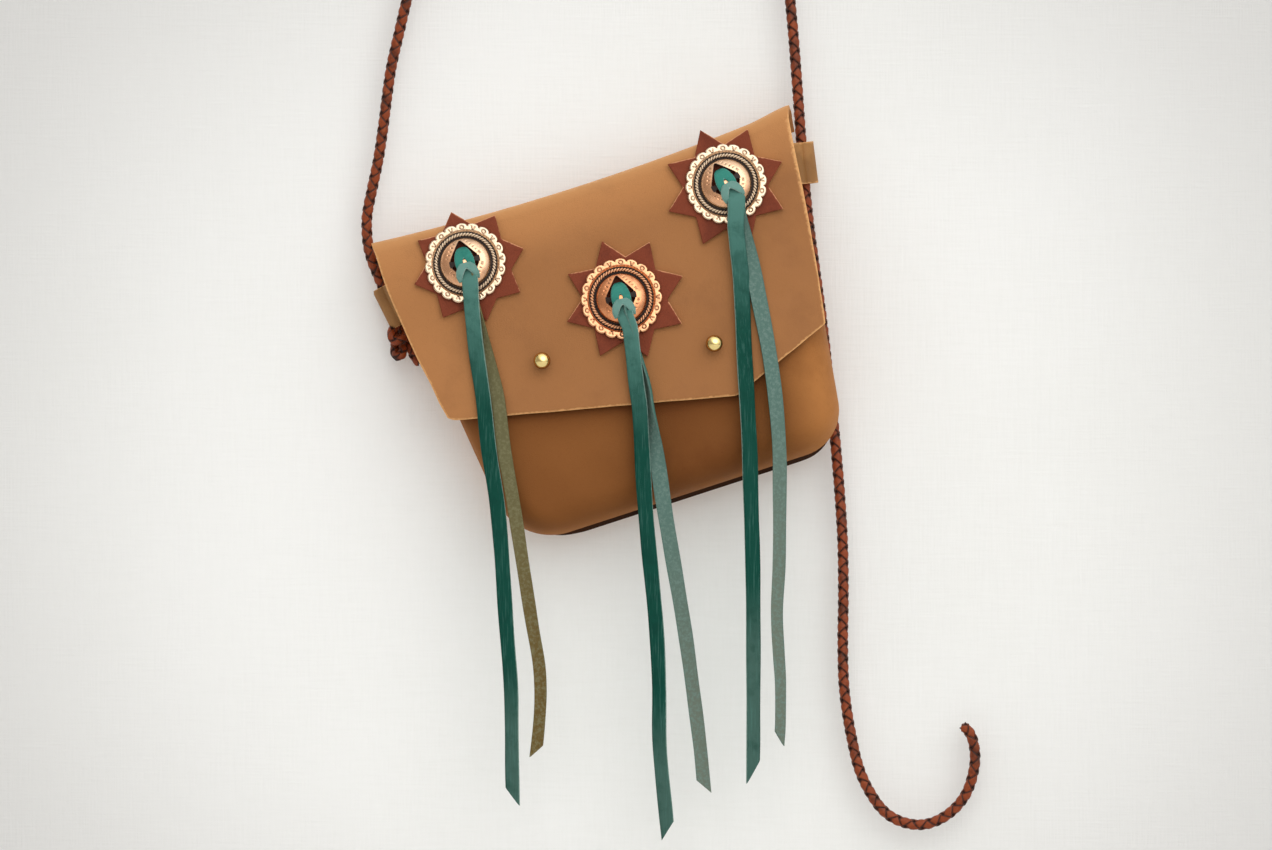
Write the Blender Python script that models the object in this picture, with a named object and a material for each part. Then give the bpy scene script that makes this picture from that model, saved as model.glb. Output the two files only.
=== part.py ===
"""A small leather shoulder bag, hung up by its braided strap.

Parts: a turned pouch of two panels, a flap that hinges along the fold at the top, two keepers for the strap,
three conchos on leather stars with hanging laces, and two ball studs that button the flap.
The bag hangs askew. Its own directions are u to the right, v down and w towards the viewer,
all measured from the flap's top left corner and the back panel's outer face.
"""
import math

import bmesh
import bpy
from mathutils import Matrix, Vector

MM = 0.001
CLEAR = 0.3 * MM

# How the bag hangs. The frame's origin is the underside of the strap's crown.
TILT = math.radians(18)
BAG_CORNER = Vector((-111.5 * MM, -3.0 * MM, -245.1 * MM))

# Leather
LEATHER = 2.0 * MM
STAR_LEATHER = 1.6 * MM
KEEPER_LEATHER = 1.5 * MM

# Flap outline
FLAP_WIDTH = 202.0 * MM
FLAP_CREST = 2.0 * MM
FLAP_LEFT_CORNER = (7.5 * MM, 89.5 * MM)
FLAP_LOW_CORNER = (139.5 * MM, 120.0 * MM)
FLAP_RIGHT_CORNER = (189.0 * MM, 100.5 * MM)
FLAP_LEFT_RADIUS = 4.0 * MM
FLAP_LOW_RADIUS = 6.0 * MM
FLAP_RIGHT_RADIUS = 2.5 * MM
FLAP_BOW = 1.2 * MM
FLAP_SPARE = 4.0 * MM
FLAP_CUTTER_REACH = 60.0 * MM

# Fold at the top, which is the flap's hinge, and the flap's fall over the belly
FOLD_RADIUS = 6.0 * MM
FOLD_STEPS = 8
FOLD_EASE = 0.05 * MM
FLAP_SLOPE = 0.2522
FLAP_BEND_RADIUS = 581.4 * MM
FLAP_CROWN = 3.0 * MM
CROWN_REACH = 50.0 * MM
FLAP_GAP = 2.3 * MM

# Pouch outline
POUCH_LEFT_TOP = 3.1 * MM
POUCH_RIGHT_TOP = 203.5 * MM
POUCH_LEFT_LEAN = 0.112
POUCH_RIGHT_LEAN = 0.143
POUCH_BOTTOM = 157.5 * MM
POUCH_LEFT_RADIUS = 28.0 * MM
POUCH_RIGHT_RADIUS = 20.0 * MM
MOUTH_DROP = 18.0 * MM
SEAM_DEPTH = 5.0 * MM
FRONT_ROLL = 15.0 * MM
BACK_ROLL = 8.0 * MM
ROLL_STEPS = 5
ACROSS_STEPS = 9
DOWN_STEPS = 9

# Ball studs
STUD_PLACES = ((58.5 * MM, 77.0 * MM), (136.2 * MM, 93.8 * MM))
STUD_BALL_RADIUS = 3.95 * MM
STUD_NECK_RADIUS = 2.1 * MM
STUD_BASE_RADIUS = 4.2 * MM
STUD_BASE_THICK = 1.0 * MM
STUD_NECK_LENGTH = 4.2 * MM
STUD_NECK_FLARE = 0.4 * MM
STUD_HOLE_EASE = 0.6 * MM
SCREW_RADIUS = 1.2 * MM
SCREW_HEAD_RADIUS = 4.0 * MM
SCREW_HEAD_THICK = 1.2 * MM
SCREW_REACH = 4.5 * MM
ROUND_STEPS = 16

# Conchos and their stars, left to right
CONCHO_PLACES = ((38.5 * MM, 23.1 * MM), (102.2 * MM, 61.1 * MM), (164.8 * MM, 25.5 * MM))
CONCHO_LEANS = (-15.0, -13.0, -30.0)
CONCHO_PHASES = (25.0, 20.0, 0.0)
CONCHO_RADIUS = 19.05 * MM
CONCHO_METAL = 1.2 * MM
CONCHO_REST = 0.1 * MM
CONCHO_DOME_RADIUS = 11.8 * MM
CONCHO_DOME_RISE = 4.4 * MM
SCALLOPS = 20
SCALLOP_STEPS = 3
SCALLOP_DEPTH = 1.3 * MM
ROPE_RADIUS = 13.9 * MM
ROPE_HALF_WIDTH = 1.1 * MM
BAR_HALF_WIDTH = 1.1 * MM
SLOT_BASE = 13.0 * MM
SLOT_HEIGHT = 9.8 * MM
STAR_RADII = (26.7 * MM, 28.8 * MM, 28.8 * MM)
STAR_TURNS = (-4.2, -0.9, 1.3)
STAR_POINTS = 8
STAR_INNER_RADIUS = 20.4 * MM
STAR_SHIFTS = ((1.1 * MM, 1.3 * MM), (1.5 * MM, 0.1 * MM), (-0.6 * MM, 0.4 * MM))

# Laces, each one thong that is threaded through its concho and hangs down in two tails
LACE_WIDTH = 7.0 * MM
LACE_THICK = 1.4 * MM
LACE_REACH = 3.9 * MM
LACE_SPACING = 9.0 * MM
LACE_SETTLE = 46.0 * MM
LACE_TURN_STATIONS = 3

# Strap and keepers
STRAP_DIAMETER = 5.0 * MM
STRAP_DEPTH = -3.0 * MM
KEEPER_EYE_EASE = 0.4 * MM
KEEPER_REACH = 6.0 * MM
KEEPER_SHOWN = 1.0 * MM
NOTCH_SPARE = 4.0 * MM
KEEPER_ARC_STEPS = 18
KEEPER_LOOP_SPAN = (-128.0, 108.0)
KEEPER_LEFT_ENDS = ((-107.4, -264.6), (-101.1, -282.8))
KEEPER_RIGHT_ENDS = ((88.6, -198.2), (91.1, -217.2))
KNOT_RADIUS = 5.4 * MM
KNOT_HEIGHT = 17.0 * MM

# Routes in millimetres, x to the right and z up, seen from the front
STRAP_ROUTE = (
    (-100.4, -286.0), (-101.1, -282.8), (-102.7, -278.1), (-104.3, -273.5), (-105.9, -268.8), (-107.4, -264.6),
    (-109.2, -260.0), (-111.0, -255.4), (-112.6, -250.7), (-113.8, -245.1), (-114.3, -239.6), (-114.1, -231.2),
    (-111.7, -219.0), (-108.9, -205.5), (-106.7, -190.8), (-105.0, -177.3), (-102.9, -162.9), (-99.3, -146.9),
    (-95.2, -129.9), (-88.7, -109.0), (-79.4, -85.8), (-66.9, -60.2), (-51.1, -35.6), (-33.5, -13.8),
    (-16.7, -1.7), (0.0, 2.5), (16.7, -0.3), (33.0, -10.5), (48.3, -28.6), (60.9, -51.9), (70.2, -76.5),
    (77.1, -100.6), (81.8, -122.0), (84.1, -141.5), (86.2, -164.8), (87.6, -187.1), (88.6, -198.2),
    (89.9, -208.4), (91.3, -218.6), (92.9, -230.7), (94.5, -242.3), (96.4, -257.7), (98.5, -276.3),
    (100.4, -295.8), (102.2, -315.8), (103.9, -332.0), (105.2, -348.3), (106.4, -364.5), (107.6, -385.4),
    (107.9, -409.6), (107.6, -429.6), (108.0, -448.2), (109.3, -461.2), (111.5, -474.2), (114.8, -488.6),
    (119.6, -499.7), (126.4, -509.3), (134.3, -514.4), (143.6, -516.1), (152.2, -513.9), (160.0, -508.4),
    (165.6, -500.7), (168.6, -491.2), (169.3, -483.5), (168.2, -476.5), (166.3, -472.6), (163.9, -470.1),
)
LACE_FRONT_ROUTES = (
    ((-66.0, -262.3), (-65.3, -271.6), (-63.0, -294.8), (-59.6, -318.1), (-57.0, -341.3), (-53.3, -364.5),
     (-51.1, -387.8), (-49.0, -420.8), (-46.9, -449.1), (-46.5, -468.1), (-46.3, -487.2), (-46.0, -501.6)),
    ((7.7, -279.0), (8.4, -285.6), (9.5, -294.8), (11.3, -311.6), (12.8, -323.2), (15.8, -358.5),
     (17.5, -383.6), (20.3, -420.8), (21.7, -449.1), (21.8, -472.8), (22.7, -487.2), (24.6, -506.2),
     (25.8, -517.4)),
    ((56.0, -225.2), (57.0, -230.7), (58.9, -248.4), (60.3, -259.1), (61.0, -271.6), (61.6, -294.8),
     (62.7, -318.1), (63.9, -341.3), (64.3, -360.4), (65.2, -392.4), (65.5, -420.8), (65.6, -449.1),
     (65.6, -477.9), (65.5, -490.0)),
)
LACE_BACK_ROUTES = (
    ((-66.0, -263.3), (-64.1, -271.6), (-60.6, -285.6), (-56.7, -301.3), (-52.5, -318.1), (-49.7, -341.3),
     (-45.7, -364.5), (-42.1, -387.8), (-36.9, -420.8), (-33.6, -439.8), (-32.8, -454.2), (-33.5, -468.1),
     (-34.8, -480.7)),
    ((7.7, -280.0), (10.2, -290.2), (13.5, -300.4), (16.7, -311.6), (18.4, -323.2), (20.2, -333.9),
     (22.2, -345.9), (25.3, -371.0), (33.3, -420.8), (37.3, -449.1), (40.9, -477.9), (42.7, -496.9)),
    ((56.2, -227.0), (59.9, -232.6), (63.7, -239.1), (65.5, -249.3), (67.2, -259.1), (69.1, -271.6),
     (73.9, -294.8), (76.9, -318.1), (78.7, -341.3), (78.7, -360.4), (78.1, -392.4), (76.8, -416.1),
     (77.4, -435.2), (78.1, -449.1), (78.0, -468.1), (77.6, -474.6)),
)

HINGE_DROP = FLAP_CREST + FOLD_RADIUS
HINGE = Vector((0.0, -FOLD_RADIUS, -HINGE_DROP))


def bag_point(u, v, w):
    """Return the point of the bag's own frame at u, v and w."""
    return Vector((u, -w, -v))


def hung_to_bag(x, z):
    """Return u and v of a point that is given by x and z in the hanging frame."""
    dx, dz = x - BAG_CORNER.x, z - BAG_CORNER.z
    return (dx * math.cos(TILT) + dz * math.sin(TILT), dx * math.sin(TILT) - dz * math.cos(TILT))


def clear_scene():
    """Remove every object that the scene starts with."""
    for thing in list(bpy.data.objects):
        bpy.data.objects.remove(thing, do_unlink=True)


def make_material(name, colour, roughness, metallic=0.0):
    """Return a Principled material."""
    material = bpy.data.materials.new(name)
    material.use_nodes = True
    shader = material.node_tree.nodes["Principled BSDF"]
    shader.inputs["Base Color"].default_value = (*colour, 1.0)
    shader.inputs["Roughness"].default_value = roughness
    shader.inputs["Metallic"].default_value = metallic
    material.diffuse_color = (*colour, 1.0)
    return material


def make_empty(name, parent, place):
    """Return an empty that other pieces hang from."""
    empty = bpy.data.objects.new(name, None)
    bpy.context.collection.objects.link(empty)
    empty.parent = parent
    empty.location = place
    return empty


def add_piece(name, mesh, material, parent, smooth=35.0):
    """Link a mesh given in the bag's frame as an object under its parent empty."""
    if parent is not None and parent.name == "flap_hinge":
        mesh.transform(Matrix.Translation(-HINGE))
    mesh.shade_smooth()
    mesh.set_sharp_from_angle(angle=math.radians(smooth))
    mesh.materials.append(material)
    piece = bpy.data.objects.new(name, mesh)
    bpy.context.collection.objects.link(piece)
    piece.parent = parent
    return piece


def mesh_from(name, points, faces):
    """Return a closed mesh whose faces point outwards."""
    mesh = bpy.data.meshes.new(name)
    mesh.from_pydata([tuple(point) for point in points], [], faces)
    shape = bmesh.new()
    shape.from_mesh(mesh)
    bmesh.ops.recalc_face_normals(shape, faces=shape.faces)
    shape.to_mesh(mesh)
    shape.free()
    return mesh


def shell_mesh(name, outer, inner, top_rim=()):
    """Close two grids of points, given as rows, into a shell. top_rim may add a row between their first rows."""
    rows, columns = len(outer), len(outer[0])
    size = rows * columns
    points = [point for grid in (outer, inner) for row in grid for point in row] + list(top_rim)
    faces = []
    for row in range(rows - 1):
        for column in range(columns - 1):
            a = row * columns + column
            faces.append((a, a + 1, a + columns + 1, a + columns))
            faces.append((size + a, size + a + columns, size + a + columns + 1, size + a + 1))
    rim = [[2 * size + column] if top_rim else [] for column in range(columns)]
    for column in range(columns - 1):
        a, b = column, column + 1
        if top_rim:
            faces.append((a, rim[a][0], rim[b][0], b))
            faces.append((rim[a][0], size + a, size + b, rim[b][0]))
        else:
            faces.append((a, size + a, size + b, b))
        a += size - columns
        faces.append((a, a + 1, size + a + 1, size + a))
    for column in (0, columns - 1):
        for row in range(rows - 1):
            a = row * columns + column
            b = a + columns
            faces.append((a, *(rim[column] if row == 0 else ()), size + a, size + b, b))
    return mesh_from(name, points, faces)


def lathe_mesh(name, profile, steps, place, axis):
    """Turn a profile of radius and height about an axis through a place."""
    points, faces, rings = [], [], []
    for radius, height in profile:
        if radius == 0.0:
            rings.append([len(points)])
            points.append(Vector((0.0, 0.0, height)))
            continue
        rings.append(list(range(len(points), len(points) + steps)))
        for step in range(steps):
            angle = math.tau * step / steps
            points.append(Vector((radius * math.cos(angle), radius * math.sin(angle), height)))
    for low, high in zip(rings, rings[1:]):
        for step in range(steps):
            after = (step + 1) % steps
            if len(low) == 1:
                faces.append((low[0], high[step], high[after]))
            elif len(high) == 1:
                faces.append((low[step], high[0], low[after]))
            else:
                faces.append((low[step], high[step], high[after], low[after]))
    mesh = mesh_from(name, points, faces)
    mesh.transform(Matrix.Translation(place) @ axis.to_track_quat("Z", "Y").to_matrix().to_4x4())
    return mesh


def prism_object(name, outlines, place, right, up, low, high):
    """Return a cutter made of straight prisms. Each outline lies in the plane of right and up through place."""
    points, faces = [], []
    normal = right.cross(up)
    for outline in outlines:
        first, count = len(points), len(outline)
        for height in (low, high):
            points.extend(place + right * x + up * y + normal * height for x, y in outline)
        faces.append(tuple(first + index for index in reversed(range(count))))
        faces.append(tuple(first + count + index for index in range(count)))
        for index in range(count):
            after = (index + 1) % count
            faces.append((first + index, first + after, first + count + after, first + count + index))
    cutter = bpy.data.objects.new(name, mesh_from(name, points, faces))
    bpy.context.collection.objects.link(cutter)
    cutter.hide_render = True
    cutter.display_type = "WIRE"
    return cutter


def cut(piece, cutter, parent, operation="DIFFERENCE"):
    """Cut a piece with a cutter that is given in the bag's frame."""
    if parent.name == "flap_hinge":
        cutter.data.transform(Matrix.Translation(-HINGE))
    cutter.parent = parent
    modifier = piece.modifiers.new(cutter.name, "BOOLEAN")
    modifier.operation = operation
    modifier.object = cutter


def rounded_outline(corners, steps=5):
    """Return a polygon of corners, each given as u, v and radius, with round corners as arcs."""
    outline = []
    for index, (u, v, radius) in enumerate(corners):
        here = Vector((u, v))
        before = (Vector(corners[index - 1][:2]) - here).normalized()
        after = (Vector(corners[(index + 1) % len(corners)][:2]) - here).normalized()
        if radius == 0.0:
            outline.append((u, v))
            continue
        half = before.angle(after) / 2
        centre = here + (before + after).normalized() * (radius / math.sin(half))
        start = here + before * (radius / math.tan(half)) - centre
        end = here + after * (radius / math.tan(half)) - centre
        turn = start.angle_signed(end)
        for step in range(steps + 1):
            spoke = Matrix.Rotation(-turn * step / steps, 2) @ start
            outline.append(tuple(centre + spoke))
    return outline


def circle_outline(radius, steps):
    """Return a round outline."""
    return [(radius * math.cos(math.tau * step / steps), radius * math.sin(math.tau * step / steps))
            for step in range(steps)]


def smooth_step(value):
    """Return 0 below 0, 1 above 1 and a smooth rise between them."""
    value = min(max(value, 0.0), 1.0)
    return value * value * (3.0 - 2.0 * value)


def flap_inner(u, v):
    """Return w of the flap's inner face. Above the hinge it goes on straight."""
    drop = v - HINGE_DROP
    fall = max(drop, 0.0)
    across = (u - FLAP_WIDTH / 2) / (FLAP_WIDTH / 2)
    crown = FLAP_CROWN * across * across * smooth_step(fall / CROWN_REACH)
    return 2 * FOLD_RADIUS - LEATHER + FLAP_SLOPE * drop - fall * fall / (2 * FLAP_BEND_RADIUS) - crown


def flap_outer(u, v):
    """Return w of the flap's outer face."""
    return flap_inner(u, v) + LEATHER


def flap_normal(u, v):
    """Return the outward normal of the flap's outer face in the bag's frame."""
    step = 0.5 * MM
    along_u = bag_point(u + step, v, flap_outer(u + step, v)) - bag_point(u - step, v, flap_outer(u - step, v))
    along_v = bag_point(u, v + step, flap_outer(u, v + step)) - bag_point(u, v - step, flap_outer(u, v - step))
    return along_v.cross(along_u).normalized()


def roll(distance, radius):
    """Return 0 at an edge and 1 past its rolled band, along a quarter circle."""
    inside = min(max(distance / radius, 0.0), 1.0)
    return math.sqrt(max(1.0 - (1.0 - inside) ** 2, 0.0))


def pouch_side(v, left, inset):
    """Return u of the pouch's side at a drop v, with its rounded bottom corner."""
    bottom = POUCH_BOTTOM - inset
    sign = 1.0 if left else -1.0
    top, lean = (POUCH_LEFT_TOP, POUCH_LEFT_LEAN) if left else (POUCH_RIGHT_TOP, -POUCH_RIGHT_LEAN)
    radius = (POUCH_LEFT_RADIUS if left else POUCH_RIGHT_RADIUS) - inset
    reach = math.hypot(1.0, lean)
    centre_v = bottom - radius
    centre_u = top + lean * centre_v + sign * (inset + radius) * reach
    tangent_v = centre_v + abs(lean) / reach * radius
    if v <= tangent_v:
        return top + lean * v + sign * inset * reach
    return centre_u - sign * math.sqrt(max(radius ** 2 - (v - centre_v) ** 2, 0.0))


def roll_steps(radius):
    """Return the distances from an edge that divide its rolled band evenly."""
    return [radius * (1.0 - math.cos(math.pi / 2 * step / ROLL_STEPS)) for step in range(ROLL_STEPS + 1)]


def panel_rows(top_rows, inset, radius, depth_at, side_inset=None):
    """Return a grid over the pouch's outline, its rows running from the mouth down to the bottom seam."""
    bottom = POUCH_BOTTOM - inset
    roll_top = bottom - radius
    drops = list(top_rows)
    start = drops[-1]
    drops += [start + (roll_top - start) * step / DOWN_STEPS for step in range(1, DOWN_STEPS)]
    drops += [bottom - distance for distance in reversed(roll_steps(radius))]
    band = roll_steps(radius)
    rows = []
    for v in drops:
        aside = inset if side_inset is None else side_inset(v)
        left, right = pouch_side(v, True, aside), pouch_side(v, False, aside)
        flat = right - left - 2 * radius
        across = [left + e for e in band]
        across += [left + radius + flat * step / ACROSS_STEPS for step in range(1, ACROSS_STEPS)]
        across += [right - e for e in reversed(band)]
        row = []
        for u in across:
            fill = roll(u - left, radius) * roll(right - u, radius) * roll(bottom - v, radius)
            row.append(bag_point(u, v, depth_at(u, v, fill)))
        rows.append(row)
    return rows


def front_depth(u, v):
    """Return w of the front panel's outer face away from its rolled edges."""
    return flap_inner(u, v) - FLAP_GAP


def make_front(leather, parent):
    """Front panel, rolled back at its sides and bottom to the seam, with holes for the studs' screws."""
    seam = SEAM_DEPTH + CLEAR / 2
    outer = panel_rows([MOUTH_DROP], 0.0, FRONT_ROLL,
                       lambda u, v, fill: seam + (front_depth(u, v) - seam) * fill)
    inner = panel_rows([MOUTH_DROP], LEATHER, FRONT_ROLL - LEATHER,
                       lambda u, v, fill: seam + (front_depth(u, v) - LEATHER - seam) * fill)
    piece = add_piece("pouch_front", shell_mesh("pouch_front", outer, inner), leather, parent)
    for index, place in enumerate(STUD_PLACES):
        seat, axis = stud_seat(*place)
        right, up = stud_directions(axis)
        hole = [circle_outline(SCREW_RADIUS + CLEAR, ROUND_STEPS)]
        cutter = prism_object(f"screw_hole_{index}", hole, seat, right, up, -3 * LEATHER, 3 * LEATHER)
        cut(piece, cutter, parent)
    for side in (True, False):
        cut(piece, keeper_notch(f"front_notch_{side}", side), parent)


def make_back(leather, parent):
    """Back panel, flat in its middle, rolled forward to the seam, with a cradle for the fold along its top."""
    reach = FOLD_RADIUS + CLEAR + FOLD_EASE
    seam = SEAM_DEPTH - CLEAR / 2

    def cradle(w):
        return HINGE_DROP + math.sqrt(reach ** 2 - (FOLD_RADIUS - w) ** 2)

    def seam_share(v):
        return smooth_step((v - cradle(LEATHER)) / (MOUTH_DROP - cradle(LEATHER)))

    def outer_depth(u, v, fill):
        return seam * seam_share(v) * (1.0 - fill)

    def inner_depth(u, v, fill):
        return LEATHER + (seam - LEATHER) * seam_share(v) * (1.0 - fill)

    low, half_way = cradle(LEATHER), (cradle(LEATHER) + MOUTH_DROP) / 2
    outer = panel_rows([cradle(0.0), low, half_way, MOUTH_DROP], 0.0, BACK_ROLL, outer_depth)
    inner = panel_rows([low, (low + half_way) / 2, half_way, MOUTH_DROP], LEATHER, BACK_ROLL - LEATHER,
                       inner_depth, lambda v: LEATHER * seam_share(v))
    rim = [(a + b) / 2 for a, b in zip(outer[0], inner[0])]
    for point in rim:
        point.z = -cradle(LEATHER / 2)
    piece = add_piece("pouch_back", shell_mesh("pouch_back", outer, inner, rim), leather, parent)
    for side in (True, False):
        cut(piece, keeper_notch(f"back_notch_{side}", side), parent)


def flap_outline():
    """Return the flap's outline, with its bowed sides and rounded corners."""
    left_mid = (FLAP_LEFT_CORNER[0] / 2 - FLAP_BOW, FLAP_LEFT_CORNER[1] / 2)
    right_mid = ((FLAP_WIDTH + FLAP_RIGHT_CORNER[0]) / 2 + FLAP_BOW, FLAP_RIGHT_CORNER[1] / 2)
    above = -FOLD_RADIUS
    return rounded_outline((
        (0.0, above, 0.0), (0.0, 0.0, 0.0), (*left_mid, 0.0), (*FLAP_LEFT_CORNER, FLAP_LEFT_RADIUS),
        (*FLAP_LOW_CORNER, FLAP_LOW_RADIUS), (*FLAP_RIGHT_CORNER, FLAP_RIGHT_RADIUS), (*right_mid, 0.0),
        (FLAP_WIDTH, 0.0, 0.0), (FLAP_WIDTH, above, 0.0)))


def stud_seat(u, v):
    """Return the point on the front panel where a stud stands, and its axis."""
    return bag_point(u, v, front_depth(u, v)), flap_normal(u, v)


def stud_directions(axis):
    """Return the directions right and up in the plane across an axis."""
    right = Vector((1.0, 0.0, 0.0))
    up = axis.cross(right).normalized()
    return up.cross(axis).normalized(), up


def stud_ball_centre(u, v):
    """Return the centre of a stud's ball."""
    seat, axis = stud_seat(u, v)
    return seat + axis * (CLEAR + STUD_BASE_THICK + STUD_NECK_LENGTH + STUD_BALL_RADIUS * 0.85)


def flap_hole_place(u, v):
    """Return where the flap's hole lies, so that it swings about the hinge through the middle of the ball."""
    swing = (stud_ball_centre(u, v) - HINGE)
    swing.x = 0.0
    drop = v
    for _ in range(12):
        out = flap_inner(u, drop) + LEATHER / 2 - FOLD_RADIUS
        drop = HINGE_DROP + math.sqrt(swing.length ** 2 - out ** 2)
    return u, drop


def make_flap(leather, parent):
    """Flap, from its knuckle in the fold over the top and down to its hem, with holes for studs and laces."""
    columns = 12
    us = [-FLAP_SPARE + (FLAP_WIDTH + 2 * FLAP_SPARE) * step / columns for step in range(columns + 1)]
    inner_radius = FOLD_RADIUS - LEATHER
    knuckle = math.sqrt(FOLD_RADIUS ** 2 - inner_radius ** 2)
    outer = [[bag_point(u, HINGE_DROP, 0.0) for u in us]]
    inner = [[bag_point(u, HINGE_DROP + knuckle, LEATHER) for u in us]]
    lowest = math.atan2(knuckle, inner_radius) / 2
    rim = [bag_point(u, HINGE_DROP + FOLD_RADIUS * math.sin(lowest),
                     FOLD_RADIUS - FOLD_RADIUS * math.cos(lowest)) for u in us]
    for step in range(1, FOLD_STEPS):
        angle = math.pi * step / FOLD_STEPS
        for rows, radius in ((outer, FOLD_RADIUS), (inner, inner_radius)):
            rows.append([bag_point(u, HINGE_DROP - radius * math.sin(angle),
                                   FOLD_RADIUS - radius * math.cos(angle)) for u in us])
    falls = 11
    reach = FLAP_LOW_CORNER[1] + FLAP_SPARE - HINGE_DROP
    for step in range(falls + 1):
        drop = HINGE_DROP + reach * step / falls
        outer.append([bag_point(u, drop, flap_outer(u, drop)) for u in us])
        inner.append([bag_point(u, drop, flap_inner(u, drop)) for u in us])
    piece = add_piece("flap", shell_mesh("flap", outer, inner, rim), leather, parent)
    triangulate = piece.modifiers.new("facets", "TRIANGULATE")
    triangulate.keep_custom_normals = False
    right, up = Vector((1.0, 0.0, 0.0)), Vector((0.0, 0.0, -1.0))
    sheet = prism_object("flap_pattern", [flap_outline()], Vector(), right, up, -FLAP_CUTTER_REACH,
                         FLAP_CUTTER_REACH)
    cut(piece, sheet, parent, "INTERSECT")
    for index, place in enumerate(STUD_PLACES):
        u, v = flap_hole_place(*place)
        axis = flap_normal(u, v)
        across, rise = stud_directions(axis)
        hole = [circle_outline(STUD_BALL_RADIUS + STUD_HOLE_EASE, ROUND_STEPS)]
        centre = bag_point(u, v, flap_inner(u, v))
        cut(piece, prism_object(f"stud_hole_{index}", hole, centre, across, rise, -3 * LEATHER, 4 * LEATHER), parent)
    for index in range(len(CONCHO_PLACES)):
        cut(piece, lace_slits(f"flap_slits_{index}", index), parent)


def concho_frame(index):
    """Return the seat of a concho on the flap, with its directions right, up and outward."""
    u, v = CONCHO_PLACES[index]
    normal = flap_normal(u, v)
    lean = math.radians(CONCHO_LEANS[index]) + TILT
    across, rise = stud_directions(normal)
    up = (rise * math.cos(lean) + across * math.sin(lean)).normalized()
    return bag_point(u, v, flap_outer(u, v)), up.cross(normal).normalized(), up, normal


def concho_base():
    """Return how far a concho's back lies off the flap."""
    return STAR_LEATHER + 2 * CLEAR + CONCHO_REST


def lace_slits(name, index):
    """Return the cutter for the two slits that a lace passes through behind its concho."""
    seat, right, up, _ = concho_frame(index)
    half, ease = LACE_WIDTH / 2 + 2 * CLEAR, LACE_THICK / 2 + 1.5 * CLEAR
    slits = [[(-half, side - ease), (half, side - ease), (half, side + ease), (-half, side + ease)]
             for side in (-LACE_REACH, LACE_REACH)]
    return prism_object(name, slits, seat, right, up, -3 * LEATHER, 3 * LEATHER)


def make_star(index, name, leather, parent):
    """Star of thin leather that follows the flap under a concho."""
    centre_u, centre_v = CONCHO_PLACES[index]
    shift = STAR_SHIFTS[index]
    turn = math.radians(STAR_TURNS[index]) - TILT
    spokes = 2 * STAR_POINTS
    rings = (0.0, 0.4, 0.72, 1.0)
    layers = []
    for lift in (CLEAR, CLEAR + STAR_LEATHER):
        points = []
        for ring in rings:
            for spoke in range(spokes if ring else 1):
                angle = turn + math.pi / 8 + math.tau * spoke / spokes
                radius = ring * (STAR_RADII[index] if spoke % 2 == 0 else STAR_INNER_RADIUS)
                move = 0.0 if ring == 0.0 else ring
                u = centre_u + shift[0] * move + radius * math.cos(angle)
                v = centre_v + shift[1] * move - radius * math.sin(angle)
                points.append(bag_point(u, v, flap_outer(u, v)) + flap_normal(u, v) * lift)
        layers.append(points)
    count = len(layers[0])
    faces = []
    for start, flip in ((0, False), (count, True)):
        for spoke in range(spokes):
            after = (spoke + 1) % spokes
            ring_faces = [(start, start + 1 + spoke, start + 1 + after)]
            for ring in range(len(rings) - 2):
                low, high = start + 1 + ring * spokes, start + 1 + (ring + 1) * spokes
                ring_faces.append((low + spoke, high + spoke, high + after, low + after))
            faces += [tuple(reversed(face)) if flip else face for face in ring_faces]
    edge = 1 + (len(rings) - 2) * spokes
    for spoke in range(spokes):
        after = (spoke + 1) % spokes
        faces.append((edge + spoke, edge + after, count + edge + after, count + edge + spoke))
    piece = add_piece(name, mesh_from(name, layers[0] + layers[1], faces), leather, parent)
    cut(piece, lace_slits(f"{name}_slits", index), parent)


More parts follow.
